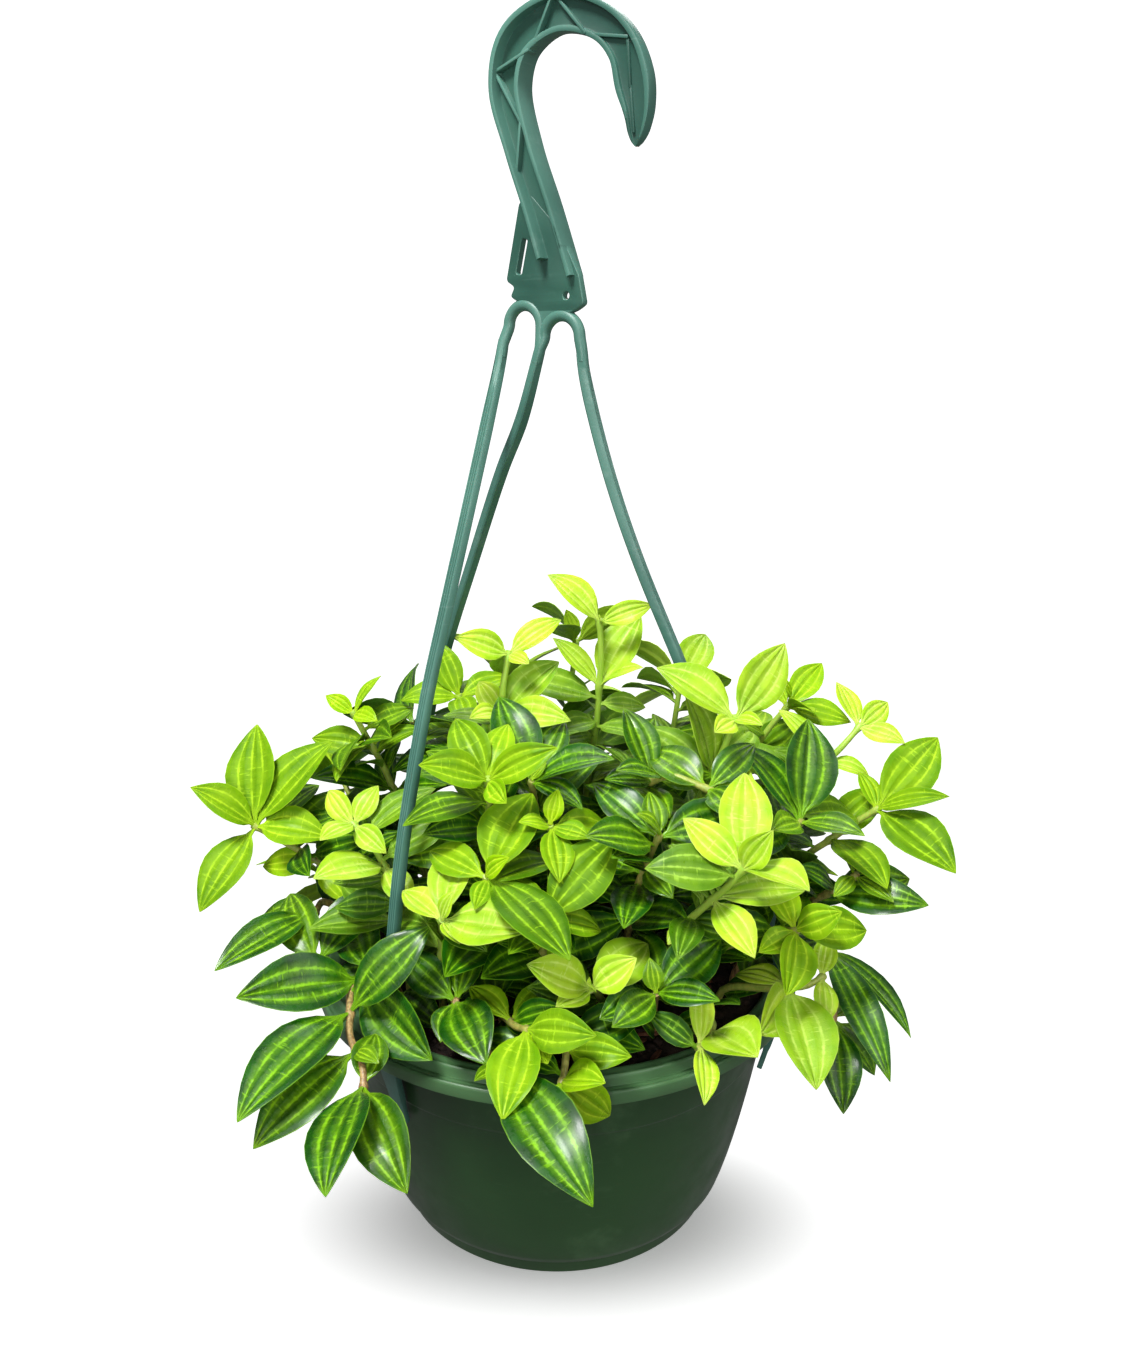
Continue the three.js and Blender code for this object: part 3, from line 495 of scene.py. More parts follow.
# leaves: the three ages share one pattern. A blade is painted along its own lines: the map "blade" runs from
# 0 to 1 between the edges and from 0 to 1 along it, "grain" holds millimetres on the blade, "age" runs from
# 0, old and dark, to 1, newly opened, and "under" marks the underside
leafLook = {
    "sideVein": 0.5,  # of the half width, from the middle vein
    "veinCore": 0, "veinWidth": 0.095, "fadeNoise": (0.16, 2), "fade": (0.3, 0.6, 0.45, 1),
    "jag": 0.15, "jagStretch": (0.25, 0.62, 1), "jagNoise": (1, 3, 0.6),
    "glow": 0.22, "glowLimits": (0.04, 0.3), "margin": 0.045, "marginShare": 0.55,
    "tick": 0.75, "tickStretch": (0.12, 1.05, 1), "tickNoise": (1, 2), "tickLimits": (0.6, 0.68),
    "tickOff": (0.1, 0.3, 1, 0.12),  # ticks fade away from the veins
    "tip": (0.88, 1, 0, 0.6), "foot": (0.08, 0.26, 0.75, 0), "paleness": 0.88, "underVeins": 0.35,
    "mottleNoise": (0.09, 3, 0.55), "mottle": (0.25, 0.75),
    "oldToMiddle": (0, 0.55), "middleToNew": (0.42, 1),  # ages
    "oldDark": colour(8, 48, 2), "oldLight": colour(26, 84, 4), "oldVein": colour(126, 182, 24),
    "oldUnder": colour(74, 118, 36), "middleDark": colour(80, 130, 8), "middleLight": colour(118, 160, 12),
    "newDark": colour(126, 180, 2), "newLight": colour(160, 200, 4), "newVein": colour(202, 226, 52),
    "newUnder": colour(160, 196, 36),
    "glossNoise": (0.5, 3), "gloss": (0.3, 0.7, 0.27, 0.42), "sheen": 0.07, "coat": 0.05, "coatRough": 0.2,
    "through": 0.12, "throughDepth": 0.0016, "throughColour": (0.7, 1, 0.25),
    "quilt": (0, 0.3), "cellNoise": (3.2, 3, 0.6), "cells": 0.35, "relief": 0.6, "reliefDepth": 0.0008,
}


# how near a place on the blade is to a vein, with ragged borders
def veinDistance(finish, offset, grain, look):
    ragged = finish.noise(finish.mapped(grain, look["jagStretch"]), *look["jagNoise"])
    jag = finish.sum("MULTIPLY", finish.sum("SUBTRACT", ragged, 0.5), look["jag"])
    toSide = finish.sum("ABSOLUTE", finish.sum("SUBTRACT", offset, look["sideVein"]))
    return finish.sum("ADD", finish.sum("MINIMUM", offset, toSide), jag)


# the pale marks: veins, their glow, ticks beside them, the margin, the tip and the foot
def paleMarks(finish, nearest, offset, along, grain, look):
    stripe = finish.blend(nearest, look["veinCore"], look["veinWidth"], 1, 0)
    faint = finish.blend(finish.noise(grain, *look["fadeNoise"]), *look["fade"])
    glow = finish.blend(nearest, *look["glowLimits"], look["glow"], 0)
    margin = finish.blend(finish.sum("SUBTRACT", 1, offset), 0, look["margin"], look["marginShare"], 0)
    ticks = finish.noise(finish.mapped(grain, look["tickStretch"]), *look["tickNoise"])
    tick = finish.blend(ticks, *look["tickLimits"], 0, look["tick"])
    tick = finish.sum("MULTIPLY", tick, finish.blend(nearest, *look["tickOff"]))
    ends = [finish.blend(along, *look[end]) for end in ("tip", "foot")]
    pale = finish.most(finish.sum("MULTIPLY", stripe, faint), tick, *ends, margin, glow)
    return finish.sum("MULTIPLY", pale, look["paleness"])


def leafFinish(name, look):
    finish = Finish(name)
    grain, age = finish.attribute("grain", "Vector"), finish.attribute("age")
    blade = finish.split(finish.add("ShaderNodeUVMap", {"uv_map": "blade"}).outputs["UV"])
    fromMiddle = finish.sum("ABSOLUTE", finish.sum("SUBTRACT", blade["X"], 0.5))
    offset = finish.sum("MULTIPLY", fromMiddle, 2)
    nearest = veinDistance(finish, offset, grain, look)
    pale = paleMarks(finish, nearest, offset, blade["Y"], grain, look)
    mottle = finish.blend(finish.noise(grain, *look["mottleNoise"]), *look["mottle"])
    old, middle, new = [
        finish.mix(mottle, look[f"{tone}Dark"], look[f"{tone}Light"]) for tone in ("old", "middle", "new")
    ]
    flesh = finish.mix(finish.blend(age, *look["oldToMiddle"]), old, middle)
    flesh = finish.mix(finish.blend(age, *look["middleToNew"]), flesh, new)
    veins = finish.mix(age, look["oldVein"], look["newVein"])
    top = finish.mix(pale, flesh, veins)
    under = finish.mix(age, look["oldUnder"], look["newUnder"])
    below = finish.mix(finish.sum("MULTIPLY", pale, look["underVeins"]), under, veins)
    finish.surface(Base_Color=finish.mix(finish.attribute("under"), top, below))
    finish.surface(Roughness=finish.blend(finish.noise(grain, *look["glossNoise"]), *look["gloss"]))
    finish.surface(Coat_Weight=look["coat"], Coat_Roughness=look["coatRough"])
    finish.surface(Specular_IOR_Level=look["sheen"])
    finish.surface(Subsurface_Weight=look["through"], Subsurface_Scale=look["throughDepth"])
    finish.surface(Subsurface_Radius=look["throughColour"])
    cells = finish.sum("MULTIPLY", finish.noise(grain, *look["cellNoise"]), look["cells"])
    quilt = finish.blend(nearest, *look["quilt"])
    finish.bump(finish.sum("ADD", quilt, cells), look["relief"], look["reliefDepth"])
    return finish.material


leafFinishes = {
    "mature": leafFinish("leafMature", {
        **leafLook, "coat": 0.24, "gloss": (0.3, 0.7, 0.24, 0.36), "sheen": 0.2, "paleness": 0.92,
        "veinWidth": 0.11, "glow": 0.28, "jag": 0.2,
    }),
    "fresh": leafFinish("leafFresh", leafLook),
    "young": leafFinish("leafYoung", {
        **leafLook, "through": 0.2, "sheen": 0.16, "paleness": 0.72, "newDark": colour(136, 184, 12),
        "newLight": colour(176, 208, 44), "newVein": colour(214, 232, 118), "newUnder": colour(176, 206, 70),
    }),
}


# stalks: streaked brown that turns green towards the young end
stalkLook = {
    "oldDark": colour(120, 92, 58), "oldLight": colour(176, 148, 96), "young": colour(150, 186, 62),
    "streakNoise": (0.8, 4), "streak": (0.35, 0.65), "rough": 0.42, "sheen": 0.45,
    "through": 0.15, "throughDepth": 0.002, "grainNoise": (900, 3), "relief": 0.4, "reliefDepth": 0.0003,
}


def stalkFinish(name, look):
    finish = Finish(name)
    streak = finish.noise(finish.attribute("grain", "Vector"), *look["streakNoise"])
    old = finish.mix(finish.blend(streak, *look["streak"]), look["oldDark"], look["oldLight"])
    finish.surface(Base_Color=finish.mix(finish.attribute("age"), old, look["young"]))
    finish.surface(Roughness=look["rough"], Specular_IOR_Level=look["sheen"])
    finish.surface(Subsurface_Weight=look["through"], Subsurface_Scale=look["throughDepth"])
    finish.bump(finish.noise(finish.place(), *look["grainNoise"]), look["relief"], look["reliefDepth"])
    return finish.material


stalkSkin = stalkFinish("stalkSkin", stalkLook)
print("leaves painted")


# pot
potSet = {
    "underside": [(0, 0.3), (25.6, 0.3), (26.6, 1.6), (57.6, 1.6), (60.2, 0)],  # radius and height
    "footRadius": 66.8,
    "collarRadius": 100,
    "collarBottom": 97.4,
    "bowlGrowth": 24.2,
    "bowlPower": 0.62,
    "bowlTop": 96,
    "bowlHeights": (11, 17, 24, 31, 38, 46, 54, 62, 70),
    "shoulder": 77,  # where a faint step starts, and where it has faded
    "shoulderEnd": 90,
    "shelf": 104.2,
    "ledge": [(98.2, 102.2), (97.3, 102.6), (96.1, 102.3)],
    "lip": [(95.6, 105.3), (94.8, 106.2), (93.4, 105.8), (91.4, 106.2), (90.4, 105.9)],
    "lipFoot": 103.6,
    "wall": 1.9,
    "insideHeights": (80, 66, 50, 34, 24, 14),
    "floor": [(66, 4.6), (0, 4.2)],
    "steps": 144,
    "sharp": 32,  # edges are crisp where the faces turn by more degrees
    "drainHoles": 4,
    "drainRadius": 3.2,
    "drainCircle": 42,
    "drainDepth": 12,
    "drainHeight": 2,
    "drainSides": 32,
    "slot": (93.4, 98, 8.6),  # inner and outer radius, width
    "slotMiddle": 107.4,
    "slotDepth": 20,
}
legTurns = {"left": 230, "back": 130, "right": 338}


def bowlRadius(height):
    share = max(height / potSet["bowlTop"], 0)
    return potSet["footRadius"] - 0.5 + potSet["bowlGrowth"] * share ** potSet["bowlPower"]


# the pot's wall as radius and height, from the middle of its foot over the lip to the middle of its floor
def potOutline():
    foot, collar, under = potSet["footRadius"], potSet["collarRadius"], potSet["collarBottom"]
    start, end, top, shelf = (potSet[key] for key in ("shoulder", "shoulderEnd", "bowlTop", "shelf"))
    base = [*potSet["underside"], (foot, 0), (foot + 1.2, 7), (foot + 3.5, 7.6)]
    bowl = [(bowlRadius(height), height) for height in potSet["bowlHeights"]]
    step = [(bowlRadius(start), start), (bowlRadius(start) + 0.6, start + 0.8), (bowlRadius(end) + 0.45, end)]
    neck = [(bowlRadius(top) + 0.3, shelf), (94.3, shelf), (94.3, 100.6), (98.4, 100.6), (98.4, under)]
    rim = [(collar, under), (collar - 0.05, 101.9), (collar - 0.9, 102.7), *potSet["ledge"]]
    inside = [(bowlRadius(height) - potSet["wall"], height) for height in potSet["insideHeights"]]
    lip = [*potSet["lip"], (bowlRadius(top) - potSet["wall"], potSet["lipFoot"])]
    return [*base, *bowl, *step, *neck, *rim, *lip, *inside, *potSet["floor"]]


def potCuts():
    bm = bmesh.new()
    inner, outer, width = potSet["slot"]
    slot = Matrix.Diagonal((outer - inner, width, potSet["slotDepth"], 1))
    for azimuth in legTurns.values():
        turn = Matrix.Rotation(math.radians(azimuth), 4, "Z")
        middle = Matrix.Translation(((inner + outer) / 2, 0, potSet["slotMiddle"]))
        bmesh.ops.create_cube(bm, size=1, matrix=turn @ middle @ slot)
    radius = potSet["drainRadius"]
    for index in range(potSet["drainHoles"]):
        centre = polar((index + 0.5) * 360 / potSet["drainHoles"], potSet["drainCircle"],
                       potSet["drainHeight"])
        bmesh.ops.create_cone(bm, cap_ends=True, segments=potSet["drainSides"], radius1=radius,
                              radius2=radius, depth=potSet["drainDepth"], matrix=Matrix.Translation(centre))
    bmesh.ops.scale(bm, vec=(mm, mm, mm), verts=bm.verts)
    return addObject("potCuts", meshOf(bm, "potCuts"))


def cutAway(piece, tool):
    cutting = piece.modifiers.new("cuts", "BOOLEAN")
    cutting.object = tool
    cutting.operation = "DIFFERENCE"
    cutting.solver = "EXACT"
    shown = piece.evaluated_get(bpy.context.evaluated_depsgraph_get())
    mesh = bpy.data.meshes.new_from_object(shown)
    piece.modifiers.clear()
    piece.data = mesh
    bpy.data.objects.remove(tool)


def buildPot():
    bm = bmesh.new()
    turned(bm, softened(potOutline()), potSet["steps"])
    pot = finishPiece(bm, "flowerPot", [potPlastic], ["pot"], potSet["sharp"])
    cutAway(pot, potCuts())
    pot.data.set_sharp_from_angle(angle=math.radians(potSet["sharp"]))


buildPot()
print("pot turned")


# soil: a filled bowl with a crumbly top
soilSet = {
    "edgeHeight": 102.6,
    "crown": 2.2,
    "reach": 88,  # where the crown and the waves end
    "swell": 0.6,
    "swellWaves": (9, 1, 11, -0.5),  # length and start in x, and in y
    "ripple": 0.5,
    "rippleTurns": (0.83, 0.41, -0.29, 0.77),  # radians for each mm of x and y, for its two waves
    "above": 1,  # the rings on top start so far above the edge, to be told from the rest
    "bottom": (60, 5.4),  # radius and height of its lowest edge
    "heights": (14, 26, 40, 57, 74),
    "rings": range(84, -1, -4),  # radii of the rings on top
    "steps": 72,
    "gap": 0.9,
    "sharp": 50,
    "crumbs": 900,
    "crumbReach": 85,
    "crumbSize": (0.7, 2.2),
    "crumbLength": (1, 2.2),
    "crumbRise": 0.15,
    "crumbTilt": (-0.4, 0.4),
    "crumbJitter": (-0.2, 0.2),
    "peatShape": (1, 0.8),  # a crumb's length and height, times its size
    "barkShape": (1.5, 0.5),
    "peatShare": 0.84,
    "seed": 4242,
}


def soilHeight(x, y):
    away = clamp(math.hypot(x, y) / soilSet["reach"])
    wide, wideStart, deep, deepStart = soilSet["swellWaves"]
    swell = soilSet["swell"] * math.sin(x / wide + wideStart) * math.cos(y / deep + deepStart)
    oneX, oneY, twoX, twoY = soilSet["rippleTurns"]
    ripple = soilSet["ripple"] * math.sin(x * oneX + y * oneY) * math.sin(x * twoX + y * twoY)
    return soilSet["edgeHeight"] + soilSet["crown"] * (1 - away**2) + (swell + ripple) * (1 - away**8)


def addCrumb(bm, chip, draw):
    azimuth, radius = draw(0, 360), soilSet["crumbReach"] * math.sqrt(draw(0, 1))
    size, long = draw(*soilSet["crumbSize"]), draw(*soilSet["crumbLength"])
    isBark = draw(0, 1) > soilSet["peatShare"]
    spot = polar(azimuth, radius)
    spot.z = soilHeight(spot.x, spot.y) + size * soilSet["crumbRise"]
    turn = Matrix.Rotation(math.radians(draw(0, 360)), 4, "Z")
    tilt = Matrix.Rotation(draw(*soilSet["crumbTilt"]), 4, "X")
    length, height = soilSet["barkShape" if isBark else "peatShape"]
    shape = Matrix.Diagonal((size * long * length, size, size * height, 1))
    place = Matrix.Translation(spot) @ turn @ tilt @ shape
    for vert in bmesh.ops.create_icosphere(bm, subdivisions=1, radius=1, matrix=place)["verts"]:
        vert.co += Vector([draw(*soilSet["crumbJitter"]) for _ in range(3)]) * size
        vert[chip] = float(isBark)


def buildSoil():
    bm = bmesh.new()
    inner, edge = potSet["wall"] + soilSet["gap"], soilSet["edgeHeight"]
    profile = [(0, soilSet["bottom"][1]), soilSet["bottom"]]
    profile += [(bowlRadius(height) - inner, height) for height in soilSet["heights"]]
    profile.append((bowlRadius(potSet["bowlTop"]) - inner - 0.2, edge))
    profile += [(radius, edge + soilSet["above"]) for radius in soilSet["rings"]]
    turned(bm, profile, soilSet["steps"])
    for vert in bm.verts:
        if vert.co.z > edge + soilSet["above"] / 2:
            vert.co.z = soilHeight(vert.co.x, vert.co.y)
    chip = bm.verts.layers.float.new("chip")
    draw = drawsFrom(soilSet["seed"])
    for _ in range(soilSet["crumbs"]):
        addCrumb(bm, chip, draw)
    finishPiece(bm, "pottingSoil", [pottingMix], ["soil"], soilSet["sharp"])


buildSoil()
print("soil filled")


# hanger: one moulding, laid out in the hook's own plane as across and up
hangerSet = {
    "turn": -36,  # azimuth of the hook's flat side, degrees
    "innerFlange": 13,
    "outerFlange": 9,
    "flangeShare": 0.34,
    "web": 3,
    "outerEnd": 0.0415,  # share of the hook's line where the shank's outer flange stops
    "flangeStart": 0.006,
    "flangeOverlap": 0.03,  # how far the two runs of the shank overlap there
    "tipFrom": 0.95,  # share of the hook's line where its tip starts to round off
    "tipLeast": 0.02,
    "tipDepth": 0.4,
    "bowRound": 0.7,
    "bowSteps": 84,
    "flangeSteps": 6,
    "ribWidth": 1.1,
    "ribRound": 0.3,
    "plate": 3.2,
    "plateRound": 0.4,
    "plateCorners": 1.2,
    "slotCorners": 0.8,
    "holeSides": 24,
    "archWide": 2.25,  # half of an arch's round bar
    "archSides": 16,
    "archSteps": 44,
    "archArc": 12,  # steps of the round part of its line
    "archEnd": (0.93, 0.1),  # how thin it is at both ends, and over which share of its line
    "archStart": (0.13, 0.09),  # shares of a leg's path where an arch's foot runs inside it
    "legWidth": 4.7,
    "legDepth": 3.8,
    "legTaper": 0.22,
    "legSteps": 60,
    "legStart": 0.075,  # the leg's top end lies inside the arch's foot
    "legEnd": (0.9, 0.03),  # how thin it is there, and over which share of the leg
    "flatFrom": 0.04,  # shares of the leg where it is as round as the arch, and where it is flat
    "flatTo": 0.2,
    "groove": 0.42,
    "clipWidth": 7.2,
    "clipDepth": 2.8,
    "clipThin": 0.75,  # depth of the clip's end, as a share of the rest
    "clipThinFrom": 0.8,
    "clipRound": 0.5,
    "clipSteps": 20,
    "shadeFacing": 0.9,  # faces given painted shade look along the hook's flat side,
    "shadeDepth": 1.75,  # lie nearer to its middle plane than this
    "shadeFrom": 363,  # and stand higher than this
    "weld": 1e-3,
    "sharp": 38,
}
hookLine = [
    (4.6, 372), (-4.9, 398), (-13.8, 420), (-19.7, 441), (-15.4, 454.5), (1, 461.5), (19.5, 456), (28.5, 447),
    (32.4, 436.5), (34.4, 427), (33.8, 415.8),
]
hookHalfWidths = [5.6, 5.3, 5.2, 6.1, 6.8, 6.4, 5.8, 6.2, 7, 5.4, 2.2]
hookDepths = [1, 1, 1, 1, 0.9, 0.6, 0.5, 0.42, 0.42, 0.4, 0.3]
plateOutline = [
    (-10.4, 404), (-15.9, 401.7), (-22.1, 375.4), (-21.6, 374.3), (-18.4, 372.4), (-20.4, 369), (-16, 366.6),
    (-9, 364.5), (-6.5, 358.6), (-3.6, 360.4), (4, 361.6), (9.6, 363.4), (13.2, 365.5), (11, 375.5), (2, 392),
]
plateSlot = [(-14.6, 389.4), (-17.6, 377.2), (-15, 376.5), (-12, 388.7)]
plateHole = (5.4, 368.6, 1.4)
archCentres = [(-14.6, 358.4, 7.6), (2.5, 353.8, 8.1)]
archLegs = [("left", "back"), ("back", "right")]  # the legs that each arch runs down into
ribLines = [  # start, end, depth
    ((-24, 446), (-9, 451), 4.4), ((-8, 452), (0, 466), 3.4), ((2, 466), (14, 453), 2.6),
    ((14, 453), (31, 449.6), 2.1), ((30.4, 450), (31.6, 434), 1.7), ((31.6, 435), (33.2, 420), 1.5),
    ((-24, 445), (-13, 428), 4.2), ((-13, 429), (-15, 411), 4.2),
]
legPaths = {
    "left": [
        (-19, 13.4, 361.5), (-21, 12, 348), (-26, 3, 324), (-32.3, -10, 295), (-40.6, -29, 257),
        (-47, -43, 227), (-55, -62, 177), (-59, -70.5, 138), (-61.4, -73.2, 112),
    ],
    "back": [
        (-3.6, 2.6, 360), (-7.2, 4.2, 346), (-13.4, 11, 324), (-21.6, 19, 304), (-34.8, 33, 266),
        (-49.2, 50, 223), (-58.8, 61, 188), (-61.5, 70, 145), (-61.4, 73.2, 112),
    ],
    "right": [
        (9, -6.5, 358), (9.6, -7, 346), (11.8, -8, 334), (20.2, -13, 303), (30.4, -18, 274), (47.3, -24, 234),
        (67.3, -31, 185), (82, -35, 140), (88.6, -35.8, 112),
    ],
}
# the outward face of a leg from edge to edge, in half widths, and where its three shallow flutes are
legFace = [-0.86, -0.66, -0.5, -0.34, -0.16, 0, 0.16, 0.34, 0.5, 0.66, 0.86]
legFlutes = (-0.5, 0, 0.5)
legBack = [(1, 0.72), (1, -0.72), (0.8, -1), (-0.8, -1), (-1, -0.72), (-1, 0.72)]
clipLine = [(95.6, 116), (95.6, 104), (95.6, 98), (92.4, 84), (88.8, 70)]  # radius and height
clipWidths = [  # share of the clip's line, and of its width
    (0, 0.6), (0.1, 1), (0.4, 1), (0.5, 1.4), (0.6, 1.15), (1, 0.6),
]
hangerNodes = ["hanger_head", *(f"hanger_leg_{name}" for name in legTurns)]
hookAcross = polar(hangerSet["turn"], 1)
hookThrough = Vector((-hookAcross.y, hookAcross.x, 0))


def inHook(across, up, through=0.0):
    return hookAcross * across + hookThrough * through + Vector((0, 0, up))


def boxOutline(left, right, deep, radius):
    return rounded([(left, -deep), (right, -deep), (right, deep), (left, deep)], radius, 2)


# half width of the bow, half width between its flanges, and half depths of outer flange, inner flange and web
def bowSizes(share):
    halves, depths = [[Vector((size, index)) for index, size in enumerate(sizes)]
                      for sizes in (hookHalfWidths, hookDepths)]
    past = clamp((share - hangerSet["tipFrom"]) / (1 - hangerSet["tipFrom"]))
    tip = math.sqrt(max(hangerSet["tipLeast"], 1 - past**2))
    half = splinePoint(halves, share).x * tip
    depth = splinePoint(depths, share).x * between(hangerSet["tipDepth"], 1, tip)
    deep = [hangerSet[key] / 2 * depth for key in ("outerFlange", "innerFlange", "web")]
    return half, half * (1 - hangerSet["flangeShare"]), *deep


def buildBow(bm):
    centre = [inHook(*place) for place in hookLine]
    end = hangerSet["outerEnd"]

    def placeAt(share):
        return placeAlong(centre, share, splineAlong(centre, share).cross(hookThrough))

    def bowOutline(share):
        half, flange, outer, inner, web = bowSizes(between(end, 1, share))
        oneSide = [(-half, -outer), (-flange, -outer), (-flange, -web), (flange, -web), (flange, -inner),
                   (half, -inner)]
        return rounded([*oneSide, *((x, -y) for x, y in reversed(oneSide))], hangerSet["bowRound"], 2)

    def flangeShare(share):
        return between(hangerSet["flangeStart"], end + hangerSet["flangeOverlap"], share)

    def flangeOutline(share):
        half, flange, outer, _, _ = bowSizes(flangeShare(share))
        return boxOutline(-half, -flange, outer, hangerSet["bowRound"])

    sweep(bm, len(bowOutline(0)), bowOutline, lambda share: placeAt(between(end, 1, share)),
          hangerSet["bowSteps"])
    sweep(bm, len(flangeOutline(0)), flangeOutline, lambda share: placeAt(flangeShare(share)),
          hangerSet["flangeSteps"])


def buildRibs(bm):
    for start, end, depth in ribLines:
        start, end = inHook(*start), inHook(*end)
        along = (end - start).normalized()
        middle = (start + end) / 2 - hookThrough * depth / 2
        turn = placeOn(middle, along, along.cross(hookThrough))
        size = Matrix.Diagonal((hangerSet["ribWidth"], depth, (end - start).length, 1))
        made = bmesh.ops.create_cube(bm, size=1, matrix=turn @ size)["verts"]
        bmesh.ops.bevel(bm, geom=edgesOf(made), offset=hangerSet["ribRound"], affect="EDGES", segments=2,
                        profile=0.5, material=-1)


def splineLoop(outline, target):
    loop = target.splines.new("POLY")
    loop.points.add(len(outline) - 1)
    for point, (x, y) in zip(loop.points, outline):
        point.co = (x, y, 0, 1)
    loop.use_cyclic_u = True


def buildPlate(bm):
    edge = hangerSet["plateRound"]
    drawn = bpy.data.curves.new("hangerPlate", "CURVE")
    drawn.dimensions = "2D"
    drawn.fill_mode = "BOTH"
    drawn.extrude = hangerSet["plate"] / 2 - edge
    drawn.bevel_depth = edge
    drawn.bevel_resolution = 2
    drawn.offset = -edge
    x, y, radius = plateHole
    hole = [point + Vector((x, y)) for point in circlePoints(hangerSet["holeSides"], radius)]
    splineLoop(rounded(plateOutline, hangerSet["plateCorners"]), drawn)
    splineLoop(rounded(plateSlot, hangerSet["slotCorners"]), drawn)
    splineLoop(hole, drawn)
    shape = addObject("hangerPlate", drawn)
    mesh = bpy.data.meshes.new_from_object(shape.evaluated_get(bpy.context.evaluated_depsgraph_get()))
    mesh.transform(Matrix((hookAcross, Vector((0, 0, 1)), -hookThrough)).transposed().to_4x4())
    bm.from_mesh(mesh)
    bpy.data.objects.remove(shape)
    bpy.data.meshes.remove(mesh)


# each arch runs down into the legs under its feet
def buildArches(bm):
    thin, reach = hangerSet["archEnd"]
    steps = hangerSet["archArc"]
    circle = circlePoints(hangerSet["archSides"])
    for (across, up, radius), names in zip(archCentres, archLegs):
        angles = [math.pi * step / steps for step in range(steps + 1)]
        arc = [inHook(across - radius * math.cos(angle), up + radius * math.sin(angle)) for angle in angles]
        paths = [[Vector(point) for point in legPaths[name]] for name in names]
        first, last = [[splinePoint(path, share) for share in hangerSet["archStart"]] for path in paths]
        points = [*first, *arc, *reversed(last)]

        def archOutline(share):
            size = hangerSet["archWide"] * between(thin, 1, clamp(min(share, 1 - share) / reach))
            return [point * size for point in circle]

        sweep(bm, hangerSet["archSides"], archOutline, lambda share: placeAlong(points, share, hookThrough),
              hangerSet["archSteps"])


def legOutline(share, sign):
    half, deep = hangerSet["legWidth"] / 2 * (1 - hangerSet["legTaper"] * share), hangerSet["legDepth"] / 2
    face = [(x, 1 - hangerSet["groove"] if x in legFlutes else 1) for x in legFace]
    return [Vector((x * half, y * deep * sign)) for x, y in face + legBack]


# a leg starts as round as the arch and flattens on its way down
def roundedBar(spot, flat):
    direction = Vector((spot.x / hangerSet["legWidth"], spot.y / hangerSet["legDepth"])).normalized()
    return (direction * hangerSet["archWide"]).lerp(spot, flat)


def clipOutline(share):
    after = next(index for index, (at, _) in enumerate(clipWidths) if index and at >= share)
    (low, one), (high, two) = clipWidths[after - 1], clipWidths[after]
    wide = hangerSet["clipWidth"] / 2 * between(one, two, (share - low) / (high - low))
    deep = hangerSet["clipDepth"] / 2 * (hangerSet["clipThin"] if share > hangerSet["clipThinFrom"] else 1)
    return boxOutline(-wide, wide, deep, hangerSet["clipRound"])


def buildLegs(bm):
    thin, reach = hangerSet["legEnd"]
    for name, azimuth in legTurns.items():
        path = [Vector(point) for point in legPaths[name]]
        clip = [polar(azimuth, *spot) for spot in clipLine]
        outward = polar(azimuth, 1)
        side = Vector((-outward.y, outward.x, 0))
        sign = 1 if splineAlong(path, 0.5).cross(side).dot(outward) > 0 else -1  # of the fluted face

        def legSection(share):
            size = between(thin, 1, clamp(share / reach))
            flat = clamp((share - hangerSet["flatFrom"]) / (hangerSet["flatTo"] - hangerSet["flatFrom"]))
            return [roundedBar(spot, flat) * size for spot in legOutline(share, sign)]

        def legPlace(share):
            return placeAlong(path, between(hangerSet["legStart"], 1, share), side)

        sweep(bm, len(legFace) + len(legBack), legSection, legPlace, hangerSet["legSteps"])
        sweep(bm, len(clipOutline(0)), clipOutline, lambda share: placeAlong(clip, share, side),
              hangerSet["clipSteps"])


# the web and the plate lie deeper than the flanges and are painted darker, as painted shade in the recess
def shadeWeb(bm):
    for face in bm.faces:
        middle = face.calc_center_median()
        isFlat = abs(face.normal.dot(hookThrough)) > hangerSet["shadeFacing"]
        isDeep = abs(middle.dot(hookThrough)) < hangerSet["shadeDepth"]
        if isFlat and isDeep and middle.z > hangerSet["shadeFrom"]:
            face.material_index = 1


def buildHanger():
    bm = bmesh.new()
    buildBow(bm)
    buildRibs(bm)
    buildPlate(bm)
    buildArches(bm)
    buildLegs(bm)
    bmesh.ops.remove_doubles(bm, verts=bm.verts, dist=hangerSet["weld"])
    bmesh.ops.recalc_face_normals(bm, faces=bm.faces)
    shadeWeb(bm)
    finishPiece(bm, "wireHanger", [hangerPlastic, hangerPaintedShade], hangerNodes, hangerSet["sharp"])


buildHanger()
print("hanger moulded")


# leafy stems
stemSet = {
    "radius": 1.6,
    "topRadius": 1.2,
    "root": 86.5,  # height where a stem starts in its hole in the soil
    "soilTop": 108.5,
    "bulge": 0.48,  # how far it swings up on its way to the first whorl
    "pastWhorl": 1.8,
    "swelling": 0.45,  # of the stalk at each whorl
    "swellReach": 0.018,  # share of the stalk's line
    "stalkSides": 8,
    "stalkStep": 2.6,  # between its rings, of which it has so many
    "stalkRings": (16, 60),
    "stalkAge": 0.8,  # of its leaves' age
    "stalkYounger": (130, 160),  # from this height, by 1 over so many mm
    "grainStretch": 0.3,
    "stalkSide": Vector((1, 0.2, 0)),  # the way its first corner faces
    "stalkJoin": 2.5,  # nearer places on its line become one
    "shadeHeart": Vector((0, 0, 130)),  # leaves are painted darker, as painted shade, the farther they sit inside a shell round this place
    "shadeShell": 108,
    "sharp": 60,
}
toneAges = {"mature": 0.13, "fresh": 0.5, "young": 0.84}

